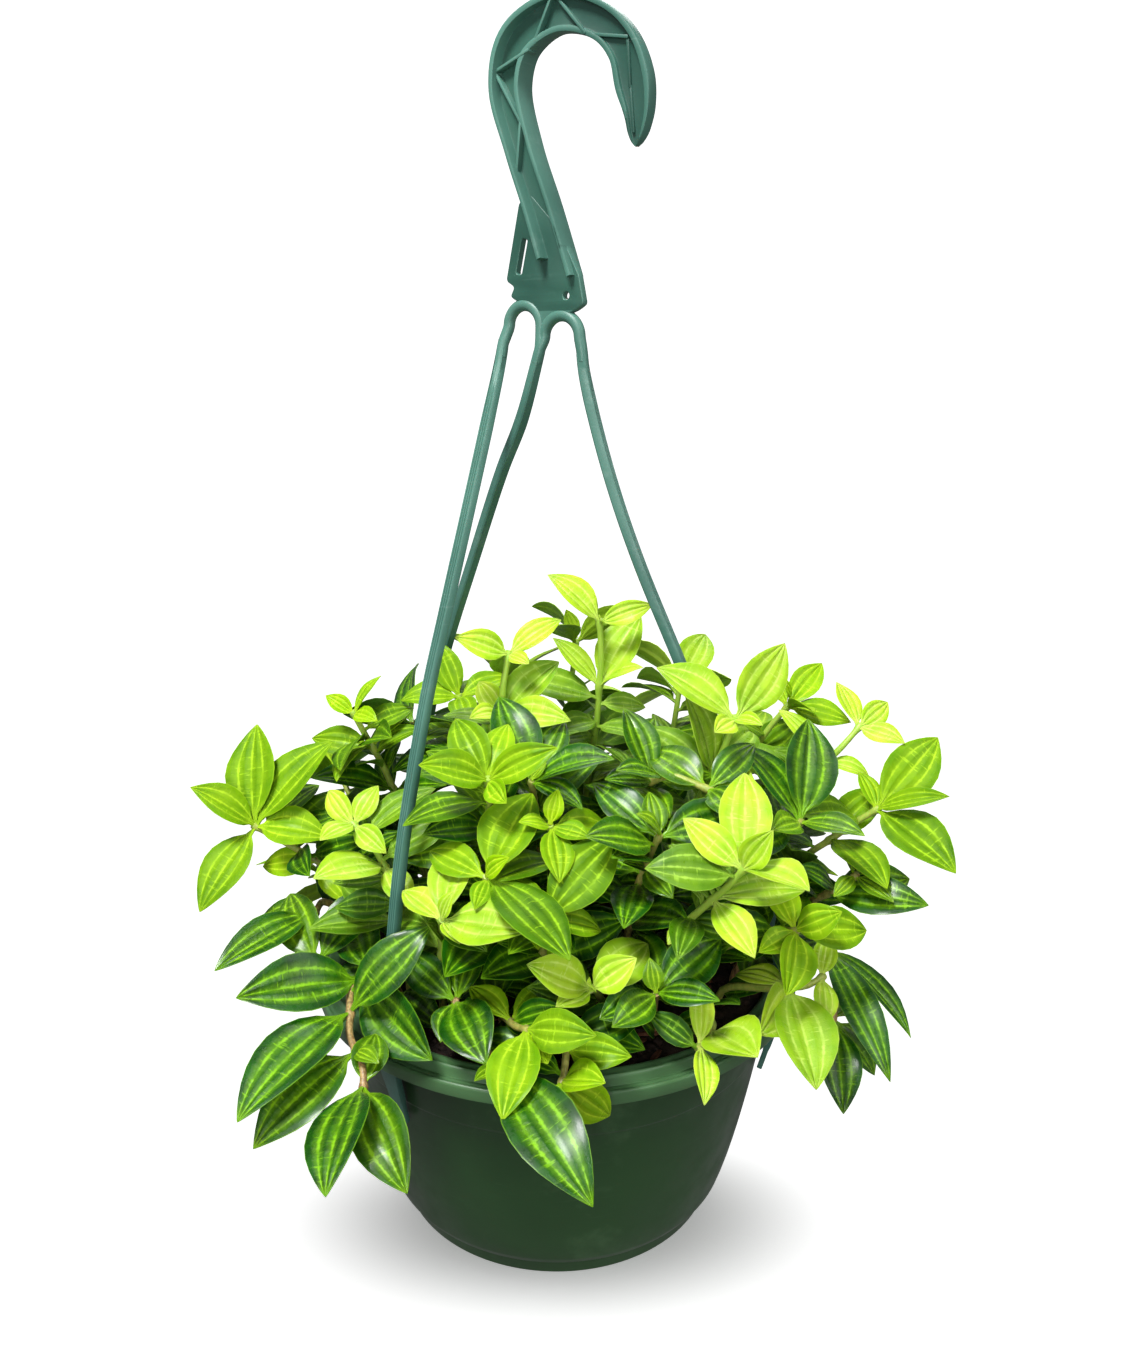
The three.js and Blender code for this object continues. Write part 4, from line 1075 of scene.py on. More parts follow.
# leaves on the solid stems: how a stem bows sideways, and how a leaf turns, rises and shortens to stand clear
growth = {
    "bows": [0, 5, -5, 10, -10, 15, -15, 21, -21],
    "tries": [
        (0, 0, 1), (10, 0, 1), (-10, 0, 1), (0, 10, 1), (0, -10, 1), (12, 12, 0.95), (-12, 12, 0.95),
        (12, -12, 0.95), (-12, -12, 0.95), (24, 0, 0.92), (-24, 0, 0.92), (0, 24, 0.9), (0, -24, 0.9),
        (24, 18, 0.85), (-24, 18, 0.85), (36, 0, 0.85), (-36, 0, 0.85), (0, 0, 0.72), (24, -18, 0.75),
        (-24, -18, 0.75), (36, 30, 0.7), (-36, 30, 0.7),
    ],
    "roll": (-0.35, 0.35),
    "droop": (0.35, 0.95),
    "fold": (0.08, 0.42),
    "breadth": (0.44, 0.54),
    "lean": (0.35, 0.9),
    "lift": 0.75,  # how much a blade faces up, against outwards
    "frontOutward": 0.5,  # leaves that show from the front face the front more than outwards
    "frontFacing": 0.8,
    "ringPlaces": [(27, 0.68), (46, 0.76), (math.inf, 0.8)],  # of leaves under a length, along the blade
    "mostMissed": 2,
    "near": 0.03,  # a leaf stands in the solid stem if its corners lie nearer than this to corners there
}
leafShape = {
    "root": 0.3,  # between the whorl's middle and the leaf's start
    "petioleShare": 0.1,
    "petioleHalfWidth": 0.9,
    "petioleDepth": 0.85,  # of its width
    "point": 0.92,  # a power that moves the widest place towards the tip
    "fullness": 0.8,  # a power that makes the outline fuller the smaller it is
    "taper": 0.22,
    "thick": 0.42,  # half of it, in the middle of a blade
    "thin": 0.12,
    "least": 0.06,
    "pillow": 0.5,  # how far the flesh stands up between the veins
    "wave": 0.35,  # of the margins
    "waves": 9,
    "sideVein": 0.52,
    "tipWidth": 0.1,
    "tipFrom": 0.85,
    "tipThin": 0.35,
    "bladeFrom": 0.06,  # shares of its length where the petiole ends and the blade is full
    "bladeTo": 0.2,
    "fullSize": 40,  # length from which a blade has its full relief
    "leastSize": 0.3,  # of the relief
    "smallThick": 0.55,  # thickness of the smallest blades, as a share of a full one
    "grainStep": 7.3,  # between the patterns of one leaf and the next
    "waveStarts": (0, 6.3),
    "plainBelow": 15,  # length under which the plainer blank is used
}


def planned(tone, root, nodes, leaves):
    return {"tone": tone, "root": root, "nodes": nodes, "leaves": leaves}


# the stems that show from the front: tone, root in the soil, whorls, and each whorl's leaves as azimuth,
# rise, length and width / length
frontStems = {
    "left_high": planned("fresh", [-52, -18], [[-94, -18, 152], [-118, -22, 169]], [
        [[170, -10, 24], [320, -35, 22]],
        [[98, 55, 42, 0.52], [28, 43, 44], [200, 40, 30], [62, 47, 17], [352, -5, 29, 0.56],
         [235, -40, 38, 0.5]],
    ]),
    "left_yellow": planned("young", [-58, -36], [[-61, -52, 165], [-75, -45, 179]], [
        [[225, 10, 31, 0.54], [320, -30, 20]],
        [[130, 25, 20], [60, 45, 17], [235, 0, 17], [320, -20, 18]],
    ]),
    "left_low": planned("mature", [-66, -20], [[-99, -30, 143], [-90, -52, 126]], [
        [[225, -10, 44, 0.36], [170, -14, 24]],
        [[108, 40, 36, 0.5], [36, 35, 38, 0.44]],
    ]),
    "left_trail": planned("mature", [-60, -46], [[-70, -64, 130], [-76, -80, 120], [-67, -95, 117],
        [-65, -104, 109]], [
        [[210, 8, 46, 0.46], [325, -20, 42, 0.5]],
        [[15, 45, 42, 0.4], [240, -10, 56, 0.42], [190, -55, 52, 0.34]],
        [[225, -22, 44, 0.46], [315, 8, 13]],
        [[255, -8, 46, 0.46], [300, -24, 40, 0.46], [85, 25, 20, 0.6]],
    ]),
    "left_inner": planned("mature", [-38, -58], [[-36, -74, 123]], [
        [[115, 20, 32], [292, -8, 34, 0.56], [255, -22, 17, 0.6], [80, 22, 26]],
    ]),
    "front_trail": planned("fresh", [-20, -62], [[-17, -86, 122], [-10, -98, 127]], [
        [[45, 18, 22, 0.4], [135, 12, 22]],
        [[258, -22, 34, 0.5], [328, 14, 28, 0.5], [292, -12, 15, 0.8]],
    ]),
    "front_hang": planned("mature", [-31, -74], [[-24, -96, 116], [-18, -105, 116]], [
        [[170, 25, 12]],
        [[293, -17, 56, 0.4], [340, -52, 48, 0.3], [225, 8, 12]],
    ]),
    "front_drop": planned("fresh", [4, -70], [[4, -94, 118], [2, -106, 112]], [
        [[335, 10, 24, 0.5]],
        [[253, -16, 32, 0.42], [322, 22, 19, 0.66], [10, -42, 22, 0.6]],
    ]),
    "front_yellow": planned("young", [52, -56], [[57, -80, 114], [50, -88, 114]], [
        [[300, 10, 26, 0.85]],
        [[85, 35, 23, 0.36], [268, -20, 23, 0.38]],
    ]),
    "right_broad": planned("young", [64, -42], [[84, -66, 122], [98, -60, 125]], [
        [[277, -28, 40, 0.56], [238, -14, 26, 0.7], [140, -8, 22, 0.6]],
        [[70, 45, 16], [265, -35, 18]],
    ]),
    "right_mid": planned("fresh", [56, -28], [[86, -66, 147]], [
        [[330, 35, 20, 0.6], [212, -13, 17], [20, -10, 31, 0.5], [252, -40, 24, 0.6], [107, 25, 22]],
    ]),
    "right_rosette": planned("young", [38, -46], [[45, -70, 152], [54, -78, 164], [63, -84, 179]], [
        [[230, -20, 11]],
        [[12, 0, 34, 0.5], [300, -25, 26, 0.5]],
        [[82, 45, 36, 0.5], [155, 35, 26], [322, 58, 20, 0.5], [310, 5, 28, 0.6]],
    ]),
    "centre_twig": planned("mature", [24, -36], [[32, -62, 171], [36, -66, 183]], [
        [[225, 25, 13], [295, -10, 20]],
        [[140, 25, 32, 0.42], [105, 50, 17], [20, 10, 32, 0.5]],
    ]),
    "top_right": planned("young", [40, 2], [[57.5, -36, 193], [65, -42, 219]], [
        [[180, 72, 34, 0.54], [310, 5, 22]],
        [[168, 32, 34, 0.52], [30, 50, 34, 0.5], [310, 5, 13], [250, 12, 18]],
    ]),
    "top_far_right": planned("fresh", [52, 20], [[95, 12, 208]], [
        [[40, 35, 26], [290, 10, 20], [120, 30, 20], [345, 0, 26]],
    ]),
    "right_top": planned("young", [66, 4], [[106, -14, 192], [119, -10, 206]], [
        [[140, 40, 28, 0.4], [240, -35, 18], [345, -15, 18]],
        [[315, -5, 20], [35, 25, 18], [110, 40, 22]],
    ]),
    "right_far": planned("fresh", [74, -10], [[107, -26, 166], [122, -32, 180]], [
        [[292, -8, 36, 0.5], [38, 48, 30, 0.5]],
        [[28, 40, 38, 0.5], [302, -16, 40, 0.5], [320, 24, 30, 0.3], [115, 45, 16]],
    ]),
    "right_upright": planned("mature", [54, -12], [[89, -50, 182]], [
        [[75, 55, 40, 0.54], [140, 42, 36, 0.5], [318, 5, 26, 0.44], [230, 10, 20]],
    ]),
    "right_dark": planned("mature", [72, -26], [[104, -43, 150], [111, -48, 160]], [
        [[308, -12, 44, 0.42], [12, 5, 34, 0.5]],
        [[315, -16, 17], [222, -18, 13], [85, 40, 14]],
    ]),
    "right_hang": planned("mature", [76, 8], [[111, -24, 124], [110, -35, 92]], [
        [[288, -30, 58, 0.24], [345, -50, 36, 0.34], [318, -32, 46, 0.28]],
        [[268, -40, 36, 0.44], [338, -50, 27, 0.5], [65, 2, 24]],
    ]),
    "top": planned("young", [8, 22], [[18, 6, 217], [17, 4, 245]], [
        [[168, 45, 27, 0.36], [35, 52, 34, 0.5], [330, 28, 22, 0.5]],
        [[170, 42, 28, 0.46], [0, 20, 22, 0.4], [270, 20, 9]],
    ]),
    "top_left": planned("young", [-16, 4], [[-22, -22, 213], [-18, -20, 238]], [
        [[20, 40, 30, 0.5], [340, 5, 30, 0.44], [130, 35, 18], [230, 10, 18]],
        [[198, 22, 22, 0.5], [20, 30, 24, 0.4], [310, -5, 12]],
    ]),
    "top_back_left": planned("fresh", [-30, 26], [[-41, 22, 209]], [
        [[140, 60, 26], [25, 15, 24], [190, 0, 24], [285, -15, 24]],
    ]),
    "left_back": planned("fresh", [-50, 10], [[-77, 10, 192], [-83, 8, 206]], [
        [[170, 5, 26], [245, -15, 26], [40, 30, 22]],
        [[30, 50, 19], [165, 30, 14], [320, 0, 14]],
    ]),
    "centre_left": planned("fresh", [-26, -26], [[-24, -60, 202]], [
        [[345, 30, 29, 0.42], [210, 22, 28, 0.5], [125, 38, 28, 0.5], [300, -15, 14, 0.6], [70, 40, 24]],
    ]),
    "centre_face": planned("fresh", [-24, -44], [[-24, -76, 172]], [
        [[70, 35, 37, 0.56], [255, -22, 14], [140, 15, 28], [310, -16, 46, 0.46]],
    ]),
    "centre_lime": planned("young", [-44, -46], [[-39, -84, 160]], [
        [[82, 36, 33, 0.44], [305, -17, 12], [140, 15, 20], [335, 15, 32, 0.62]],
    ]),
    "centre_big": planned("fresh", [-6, -48], [[-4, -84, 160]], [
        [[36, 36, 39, 0.5], [133, 20, 24], [20, -20, 22], [255, 0, 20]],
    ]),
    "front_lime": planned("young", [18, -58], [[12, -88, 136]], [
        [[196, 30, 26, 0.54], [55, 12, 30, 0.56], [354, 40, 20, 0.6], [232, 0, 16]],
    ]),
    "front_dark": planned("mature", [36, -62], [[35, -82, 131]], [
        [[102, 27, 29, 0.54], [45, 22, 32, 0.54], [228, -5, 24, 0.5], [330, 10, 24]],
    ]),
    "centre_back": planned("mature", [-4, -14], [[-9, -46, 196]], [
        [[122, 48, 36, 0.5], [350, 20, 32, 0.54], [320, -10, 24, 0.44], [45, 42, 28]],
    ]),
    "centre_small": planned("fresh", [6, -32], [[-2, -64, 186]], [
        [[205, -5, 14, 0.6], [335, -5, 15, 0.6], [280, -35, 22], [30, -15, 26]],
    ]),
    "centre_right": planned("mature", [22, -14], [[31, -40, 199], [55, -50, 195]], [
        [[220, 5, 24, 0.44], [120, 50, 30]],
        [[125, 28, 30, 0.54], [35, 30, 26], [300, -15, 20]],
    ]),
}

# the stems at the back: azimuth, reach, height of the tip, tone
backStems = [
    (14, 112, 148, "mature"), (28, 104, 118, "fresh"), (42, 118, 168, "fresh"), (60, 106, 120, "mature"),
    (74, 112, 172, "young"), (92, 106, 122, "fresh"), (106, 114, 166, "mature"), (146, 108, 122, "mature"),
    (152, 112, 164, "fresh"), (168, 104, 128, "fresh"), (36, 66, 210, "young"), (82, 60, 224, "fresh"),
    (112, 62, 206, "young"), (158, 66, 196, "mature"),
]
backSet = {
    "rootShare": 0.62,  # of a stem's reach
    "rootMost": 74,
    "rootTurn": (-3, 3),
    "lowTurn": (-5, 5),
    "lowOut": 5,
    "lowLeast": 117,
    "rim": 112,
    "lowShare": 0.62,  # of the tip's height over the rim
    "whorls": [(2, 40, (30, 90)), (24, 34, (0, 90))],  # rise, length, turn
    "leafTurn": (-14, 14),
    "leafRise": (-12, 12),
    "leafLength": (0.85, 1.12),
    "trailing": 130,  # stems with lower tips hang over the rim
    "trailingDrop": 18,  # how much lower an outward leaf points
    "uprightDrop": 6,
}
lowSet = {
    "above": (154, 188),  # a stem whose first whorl is higher than these has one or two more below it
    "turn": (-15, 15),
    "rise": (-5, 28),
    "length": (28, 37),
}
thirds = (0, 120, 240)

# the seed of each kind of draw for the first stem, and how much it grows from stem to stem
seeds = {"low": (500, 53), "back": (900, 37), "form": (17, 101), "leaf": (7000, 61), "filler": (31000, 71)}


def drawsFor(kind, order):
    start, step = seeds[kind]
    return drawsFrom(start + order * step)


def lowerWhorls(stem, index):
    draw = drawsFor("low", index)
    whorls = []
    for _ in range(sum(stem["nodes"][0][2] > height for height in lowSet["above"])):
        turn = draw(0, 120)
        whorls.append([[turn + step + draw(*lowSet["turn"]), draw(*lowSet["rise"]), draw(*lowSet["length"])]
                       for step in thirds])
    return whorls


def backStem(row, index):
    azimuth, reach, height, tone = row
    draw = drawsFor("back", index)
    rootRadius = min(backSet["rootMost"], reach * backSet["rootShare"])
    root = polar(azimuth + draw(*backSet["rootTurn"]), rootRadius)
    tip = polar(azimuth, reach, height)
    lowHeight = between(backSet["rim"], height, backSet["lowShare"])
    low = polar(azimuth + draw(*backSet["lowTurn"]), (reach + rootRadius) / 2 + backSet["lowOut"],
                max(backSet["lowLeast"], lowHeight))
    drop = backSet["trailingDrop"] if height < backSet["trailing"] else backSet["uprightDrop"]

    def whorl(rise, length, turn):
        leaves = []
        for step in thirds:
            heading = turn + step + draw(*backSet["leafTurn"])
            lifted = rise + draw(*backSet["leafRise"]) - drop * math.cos(math.radians(heading - azimuth))
            leaves.append([heading, lifted, length * draw(*backSet["leafLength"])])
        return leaves

    leaves = [whorl(rise, length, azimuth + draw(*turn)) for rise, length, turn in backSet["whorls"]]
    return {"tone": tone, "root": root.xy, "back": True, "low": [], "nodes": [low, tip], "leaves": leaves}


def allStems():
    stems = {}
    for index, (name, stem) in enumerate(frontStems.items()):
        stems[name] = {**stem, "low": lowerWhorls(stem, index)}
    for index, row in enumerate(backStems):
        stems[f"back_{index + 1:02d}"] = backStem(row, index)
    return stems


# a stem leaves the soil upright, bulges up and to one side, and passes through its whorls
def stemPoints(stem, bow):
    x, y = stem["root"]
    leave = Vector((x, y, stemSet["soilTop"]))
    whorls = [Vector(node) for node in stem["nodes"]]
    aside = (whorls[0] - leave).cross(Vector((0, 0, 1))).normalized()
    count = max(1, len(stem["low"]))
    bends = []
    for index in range(count):
        share = (index + 1) / (count + 1)
        bulge = share * (1 - share) * (whorls[0] - leave).length * stemSet["bulge"]
        swing = aside * bow * math.sin(math.pi * share)
        bends.append(leave.lerp(whorls[0], share) + swing + Vector((0, 0, bulge)))
    points = [Vector((x, y, stemSet["root"])), leave, *bends, *whorls]
    points[-1] = points[-1] + (points[-1] - points[-2]).normalized() * stemSet["pastWhorl"]
    return points


# each whorl stands on the straight line between two rings of the solid stem
def whorlPlaces(stem, bow):
    points = stemPoints(stem, bow)
    last = len(points) - 1
    marks = [0, 1, *(index + 2.5 for index in range(last - 2)), last]
    rings = [splinePoint(points, mark / last) for mark in marks]
    places = [rings[1].lerp(rings[2], 2 / 3), *(a.lerp(b, 0.5) for a, b in zip(rings[2:], rings[3:]))]
    places[-1] = rings[-1] + (rings[-2] - rings[-1]).normalized() * stemSet["pastWhorl"]
    return places[0 if stem["low"] else 1:], rings


def outwardAt(place, stem):
    outward = Vector((place.x, place.y, 0)).normalized()
    if "back" in stem:
        return outward
    return (outward * growth["frontOutward"] - Vector((0, growth["frontFacing"], 0))).normalized()


def formOf(look, draw):
    return {key: draw(*look[key]) for key in ("roll", "droop", "fold", "breadth", "lean")}


def leafOf(base, row, form, shift):
    azimuth, rise, length = row[:3]
    turn, lift, share = shift
    up = math.radians(rise + lift)
    heading = polar(azimuth + turn, math.cos(up), math.sin(up))
    wanted = Vector((0, 0, growth["lift"])) + form["outward"] * form["lean"]
    face = (wanted - heading * wanted.dot(heading)).normalized()
    face = Quaternion(heading, form["roll"]) @ face
    breadth = row[3] if len(row) > 3 else form["breadth"]
    return {
        "base": base + heading * leafShape["root"],
        "heading": heading, "face": face, "side": face.cross(heading),
        "length": length * share, "halfWidth": length * share * breadth / 2,
        "droop": form["droop"], "fold": form["fold"], "plain": form["plain"], "whorl": form["whorl"],
    }


def halfWidthAt(leaf, along):
    share = clamp((along - leafShape["petioleShare"]) / (1 - leafShape["petioleShare"]))
    outline = max(0, math.sin(math.pi * share ** leafShape["point"])) ** leafShape["fullness"]
    blade = leaf["halfWidth"] * outline * (1 - leafShape["taper"] * share**4)
    return leafShape["petioleHalfWidth"] * (1 - share) + blade


# a place on a blade that droops along a round arc and is folded along its middle
def leafPoint(leaf, along, wide, lift):
    droop = leaf["droop"]
    bend = droop * (0.5 - along)
    reach = leaf["length"] / (2 * math.sin(droop / 2))
    raised = lift + leaf["fold"] * abs(wide)
    forward = reach * (math.sin(droop / 2) - math.sin(bend)) - raised * math.sin(bend)
    upward = reach * (math.cos(bend) - math.cos(droop / 2)) + raised * math.cos(bend)
    return leaf["base"] + leaf["heading"] * forward + leaf["face"] * upward + leaf["side"] * wide


# the corners that the solid leaf of this form would have: its tip and both edges of a middle ring
def cornersOf(leaf):
    length = 0 if leaf["plain"] else leaf["length"]
    ring = next(place for limit, place in growth["ringPlaces"] if length < limit)
    wide = halfWidthAt(leaf, ring)
    return [leafPoint(leaf, 1, 0, 0), leafPoint(leaf, ring, wide, 0), leafPoint(leaf, ring, -wide, 0)]


def cadCorners(name):
    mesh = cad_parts[f"stem_{name}"].data
    tree = kdtree.KDTree(len(mesh.vertices))
    for vert in mesh.vertices:
        tree.insert(vert.co / mm, vert.index)
    tree.balance()
    return tree


def stands(leaf, tree):
    return all(tree.find(corner)[2] < growth["near"] for corner in cornersOf(leaf))


# a stem's leaves where its solid has them, and how many it doesn't have
def foundLeaves(stem, places, order, tree):
    draw = drawsFor("form", order)
    leaves, missed = [], 0
    for whorl, rows in enumerate([*stem["low"], *stem["leaves"]], -len(stem["low"])):
        place = places[whorl + len(stem["low"])]
        for row in rows:
            form = formOf(growth, draw)
            form.update(whorl=whorl, plain=whorl < 0 or "back" in stem, outward=outwardAt(place, stem))
            tried = (leafOf(place, row, form, shift) for shift in growth["tries"])
            leaf = next((leaf for leaf in tried if stands(leaf, tree)), None)
            if leaf:
                leaves.append(leaf)
            else:
                missed += 1
        if missed > growth["mostMissed"] and not leaves:
            break
    return leaves, missed


# the bow that its clear room gave a stem is the one at which most leaves stand where the solid has them
def grownLeaves(name, stem, order):
    tree = cadCorners(name)
    best = ([], [], [])
    for bow in growth["bows"]:
        places, rings = whorlPlaces(stem, bow)
        leaves, missed = foundLeaves(stem, places, order, tree)
        if len(leaves) > len(best[0]):
            best = (leaves, places, rings)
        if missed <= 1 and leaves:
            break
    return best


# a flat blank of a blade: x runs across from -1 to 1, y along from 0 to 1, and z is 1 on top and -1 below
def leafBlank(name, acrossSteps, alongSteps):
    bm = bmesh.new()
    bmesh.ops.create_grid(bm, x_segments=acrossSteps, y_segments=alongSteps, size=1)
    bmesh.ops.solidify(bm, geom=bm.faces[:], thickness=1)
    middle = sum(vert.co.z for vert in bm.verts) / len(bm.verts)
    for vert in bm.verts:
        vert.co.y = 0.5 - 0.5 * math.cos(math.pi * (vert.co.y + 1) / 2)
        vert.co.z = 1 if vert.co.z > middle else -1
    bmesh.ops.recalc_face_normals(bm, faces=bm.faces)
    return meshOf(bm, name)


blanks = {"fine": leafBlank("leafBlankFine", 8, 14), "plain": leafBlank("leafBlankPlain", 6, 10)}


# where a corner of the blank goes: how far out from the middle vein, and how far up from the blade's middle
def bladeSpot(leaf, across, along, side, size, seed):
    wide = max(leafShape["tipWidth"], halfWidthAt(leaf, along)) * across
    blade = clamp((along - leafShape["bladeFrom"]) / (leafShape["bladeTo"] - leafShape["bladeFrom"]))
    ends = math.sin(math.pi * clamp(along)) ** 0.5 if 0 < along < 1 else 0
    vein = 0.5 + 0.5 * math.cos(math.tau * abs(across) / leafShape["sideVein"])
    wave = math.sin(along * leafShape["waves"] + seed) * (1 if across > 0 else -1) * across**2
    relief = size * ends * (leafShape["pillow"] * (1 - vein) * blade + leafShape["wave"] * wave)
    petiole = math.sqrt(max(0.0, 1 - across**2)) * leafShape["petioleHalfWidth"] * leafShape["petioleDepth"]
    thick = between(leafShape["thick"], leafShape["thin"], across**2)
    flat = thick * between(leafShape["smallThick"], 1, size)
    toTip = clamp((along - leafShape["tipFrom"]) / (1 - leafShape["tipFrom"]))
    half = between(petiole, flat, blade) * between(1, leafShape["tipThin"], toTip)
    return wide, relief + side * max(half, leafShape["least"])


def addLeaf(bm, leaf, layers, age, seed):
    isPlain = leaf["length"] < leafShape["plainBelow"] or leaf["plain"] and leaf["whorl"] < 0
    size = clamp(leaf["length"] / leafShape["fullSize"], leafShape["leastSize"], 1)
    first = len(bm.verts)
    bm.from_mesh(blanks["plain" if isPlain else "fine"])
    bm.verts.ensure_lookup_table()
    for vert in bm.verts[first:]:
        across, along, side = vert.co
        wide, lift = bladeSpot(leaf, across, along, side, size, seed)
        vert.co = leafPoint(leaf, along, wide, lift)
        vert[layers["grain"]] = Vector((wide, along * leaf["length"], seed * leafShape["grainStep"]))
        vert[layers["age"]] = age
        vert[layers["under"]] = 0.0 if side > 0 else 1.0
        vert[layers["spot"]] = Vector((0.5 + 0.5 * across, along, 0))
    bm.faces.ensure_lookup_table()


def stalkRadius(share, marks):
    radius = between(stemSet["radius"], stemSet["topRadius"], share)
    swell = sum(math.exp(-((share - mark) / stemSet["swellReach"]) ** 2) for mark in marks)
    return radius * (1 + stemSet["swelling"] * min(1, swell))


def alongRings(rings, spot):
    best = (math.inf, 0)
    for index, (start, end) in enumerate(zip(rings, rings[1:])):
        line = end - start
        share = clamp((spot - start).dot(line) / line.length_squared)
        best = min(best, ((start + line * share - spot).length, index + share))
    return best[1]


# the stalk runs through the same rings as the solid one, and through each whorl
def stalkLine(rings, places):
    merged = sorted([*rings[2:-1], *places[:-1]], key=lambda spot: alongRings(rings, spot))
    line = [*rings[:2], *merged, rings[-1]]
    gaps = zip(line, line[1:])
    return [line[0], *(after for before, after in gaps if (after - before).length > stemSet["stalkJoin"])]


def shareNear(line, place):
    steps = (len(line) - 1) * 20
    return min(range(steps + 1), key=lambda step: (splinePoint(line, step / steps) - place).length) / steps


def addStalk(bm, line, places, layers, age, seed):
    marks = [shareNear(line, place) for place in places]
    circle = circlePoints(stemSet["stalkSides"])
    rings = round(clamp(lengthOf(line) / stemSet["stalkStep"], *stemSet["stalkRings"]))

    def stalkOutline(share):
        radius = stalkRadius(share, marks)
        return [point * radius for point in circle]

    made = sweep(bm, stemSet["stalkSides"], stalkOutline,
                 lambda share: placeAlong(line, share, stemSet["stalkSide"]), rings)
    bm.faces.ensure_lookup_table()
    start, reach = stemSet["stalkYounger"]
    for vert in made:
        vert[layers["grain"]] = Vector((vert.co.x, vert.co.y, vert.co.z * stemSet["grainStretch"] + seed))
        vert[layers["age"]] = clamp(age + (vert.co.z - start) / reach)
    for face in facesOf(made):
        face.material_index = 1


# leaves are younger and paler where they are short; they are darker where they grow low, partly from age and
# partly as painted shade, and darker deep inside as painted shade
ageSet = {
    "usualLength": 32,
    "perLength": -0.012,
    "lengthLimits": (-0.14, 0.22),
    # low whorls are darker, partly older and partly painted shade under the plant
    "low": 0.3,
    "shadePerDepth": 0.007,
    "shadeDepthLimits": (0, 0.3),
    "spread": (-0.12, 0.12),
}


def leafAge(stem, leaf, draw):
    depth = stemSet["shadeShell"] - (leaf["base"] - stemSet["shadeHeart"]).length
    younger = clamp((leaf["length"] - ageSet["usualLength"]) * ageSet["perLength"], *ageSet["lengthLimits"])
    # depth inside the plant darkens a leaf as painted shade
    olderAndShaded = clamp(depth * ageSet["shadePerDepth"], *ageSet["shadeDepthLimits"])
    olderAndShaded += ageSet["low"] if leaf["whorl"] < 0 else 0
    return clamp(toneAges[stem["tone"]] + younger - olderAndShaded + draw(*ageSet["spread"]))


fillerSet = {
    "every": 5,  # mm of stalk between them
    "onStalk": (0.3, 0.9),  # where in its stretch of stalk each one grows
    "reach": 108,  # from the pot's axis, so that they stay inside the plant
    "lowest": 108,  # for their tips
    "lowestBase": 105,
    "top": 226,  # the height of the plant's dome over the pot's axis
    "fall": 0.0036,  # how fast the dome falls away from it
    "length": (18, 36),
    "rise": (-12, 38),
    "roll": (-0.3, 0.3),
    "droop": (0.35, 0.9),
    "fold": (0.1, 0.4),
    "breadth": (0.42, 0.54),
    "lean": (0.3, 0.8),
    "tries": 6,
    "shadedAgeShare": 0.4,  # of the stem's tone, darker as painted shade inside the plant
    "ageSpread": (-0.12, 0.12),
    "younger": (185, 260),  # from this height, by 1 over so many mm: the painted shade lifts higher up
    "budLength": (8, 15),
    "budRise": (38, 78),
    "budTurn": (-20, 20),
    "budAge": 0.3,  # younger than the stem
}


# the box and the faces of the shape made since the given corner, as other leaves meet them
def bladeTree(bm, first):
    bm.verts.ensure_lookup_table()
    verts = bm.verts[first:]
    indexOf = {vert: index for index, vert in enumerate(verts)}
    places = [vert.co.copy() for vert in verts]
    low, high = [Vector([pick(place[axis] for place in places) for axis in range(3)]) for pick in (min, max)]
    faces = [[indexOf[vert] for vert in face.verts] for face in facesOf(verts)]
    return low, high, BVHTree.FromPolygons(places, faces)


# a CAD node's shape as the leaves meet it
def nodeTree(name):
    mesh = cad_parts[name].data
    low, high = (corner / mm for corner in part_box(name))
    places = [vert.co / mm for vert in mesh.vertices]
    return low, high, BVHTree.FromPolygons(places, [face.vertices for face in mesh.polygons])


def meets(one, other):
    apart = any(one[0][axis] > other[1][axis] or other[0][axis] > one[1][axis] for axis in range(3))
    return not apart and bool(one[2].overlap(other[2]))


# grows one more leaf from a stalk if it is clear of all that stands, but for the stalk itself
def addIfClear(grown, base, row, age, draw, standing):
    bm = grown["bm"]
    form = {**formOf(fillerSet, draw), "plain": True, "whorl": -1, "outward": outwardAt(base, grown["stem"])}
    leaf = leafOf(base, row, form, (0, 0, 1))
    tip = leafPoint(leaf, 1, 0, 0)
    dome = fillerSet["top"] - fillerSet["fall"] * tip.xy.length_squared
    isInside = tip.xy.length < fillerSet["reach"] and fillerSet["lowest"] < tip.z < dome
    isBud = leaf["length"] <= fillerSet["budLength"][1]
    if not isInside and not isBud:
        return False
    first = len(bm.verts)
    addLeaf(bm, leaf, grown["layers"], age, draw(*leafShape["waveStarts"]))
    made = bladeTree(bm, first)
    if any(meets(made, other) for other in standing if other is not grown["tube"]):
        bmesh.ops.delete(bm, geom=bm.verts[first:], context="VERTS")
        return False
    standing.append(made)
    return True


# each stem ends in a bud of tiny young leaves
def addBud(grown, draw, standing):
    start = draw(0, 360)
    age = clamp(toneAges[grown["stem"]["tone"]] + fillerSet["budAge"])
    added = 0
    for turn in thirds:
        azimuth = start + turn + draw(*fillerSet["budTurn"])
        row = [azimuth, draw(*fillerSet["budRise"]), draw(*fillerSet["budLength"])]
        added += addIfClear(grown, grown["line"][-1], row, age, draw, standing)
    return added


def addFiller(grown, base, draw, standing):
    start, reach = fillerSet["younger"]
    # the stem's tone scaled down and raised with height: painted shade inside the plant, lighter higher up
    shadedAge = toneAges[grown["stem"]["tone"]] * fillerSet["shadedAgeShare"] + (base.z - start) / reach
    for _ in range(fillerSet["tries"]):
        row = [draw(0, 360), draw(*fillerSet["rise"]), draw(*fillerSet["length"])]
        age = clamp(shadedAge + draw(*fillerSet["ageSpread"]))
        if addIfClear(grown, base, row, age, draw, standing):
            return True
    return False
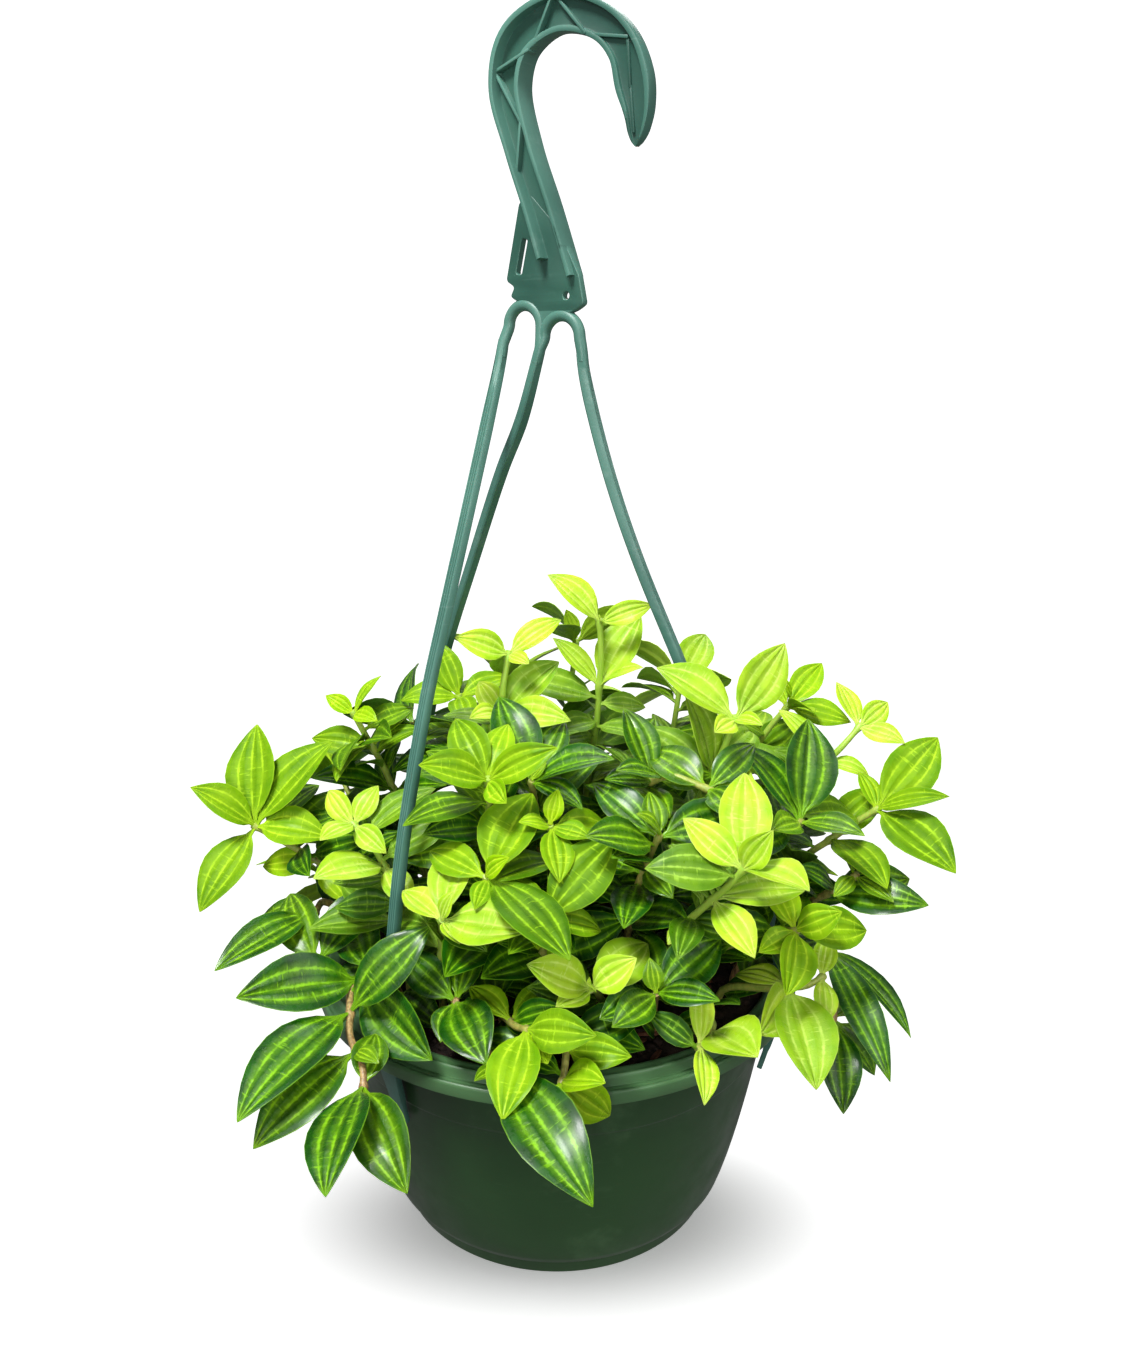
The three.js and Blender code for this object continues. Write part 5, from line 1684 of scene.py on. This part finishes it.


# small leaves fill the plant's inside, painted dark there as painted shade
def addFillers(grown, order, standing):
    draw = drawsFor("filler", order)
    line = grown["line"]
    added = addBud(grown, draw, standing)
    count = int(lengthOf(line) / fillerSet["every"])
    for index in range(count):
        base = splinePoint(line, (index + draw(*fillerSet["onStalk"])) / count)
        if base.z >= fillerSet["lowestBase"]:
            added += addFiller(grown, base, draw, standing)
    return added


def growStem(name, stem, order, standing):
    leaves, places, rings = grownLeaves(name, stem, order)
    draw = drawsFor("leaf", order)
    bm = bmesh.new()
    layers = {kind: bm.verts.layers.float_vector.new(kind) for kind in ("grain", "spot")}
    layers.update({kind: bm.verts.layers.float.new(kind) for kind in ("age", "under")})
    line = stalkLine(rings, places)
    addStalk(bm, line, places, layers, toneAges[stem["tone"]] * stemSet["stalkAge"], order)
    tube = bladeTree(bm, 0)
    standing.append(tube)
    for leaf in leaves:
        first = len(bm.verts)
        addLeaf(bm, leaf, layers, leafAge(stem, leaf, draw), draw(*leafShape["waveStarts"]))
        standing.append(bladeTree(bm, first))
    return {"bm": bm, "stem": stem, "layers": layers, "line": line, "tube": tube, "found": len(leaves)}


def finishStem(name, grown):
    bm, stem, layers = grown["bm"], grown["stem"], grown["layers"]
    blade = bm.loops.layers.uv.new("blade")
    for face in bm.faces:
        for loop in face.loops:
            loop[blade].uv = loop.vert[layers["spot"]].xy
    bm.verts.layers.float_vector.remove(layers["spot"])
    bmesh.ops.recalc_face_normals(bm, faces=bm.faces)
    finishes = [leafFinishes[stem["tone"]], stalkSkin]
    finishPiece(bm, f"leafy_{name}", finishes, [f"stem_{name}"], stemSet["sharp"])


def buildPlant():
    stems = allStems()
    standing = [nodeTree(name) for name in ["pot", *hangerNodes]]
    grown = {name: growStem(name, stem, order, standing) for order, (name, stem) in enumerate(stems.items())}
    asked = sum(len(rows) for stem in stems.values() for rows in (*stem["low"], *stem["leaves"]))
    print(f"{sum(stem['found'] for stem in grown.values())} of {asked} leaves placed")
    fillers = sum(addFillers(stem, order, standing) for order, stem in enumerate(grown.values()))
    print(f"{fillers} small leaves fill the inside")
    for name, stem in grown.items():
        finishStem(name, stem)
    for blank in blanks.values():
        bpy.data.meshes.remove(blank)


buildPlant()
print("plant grown")
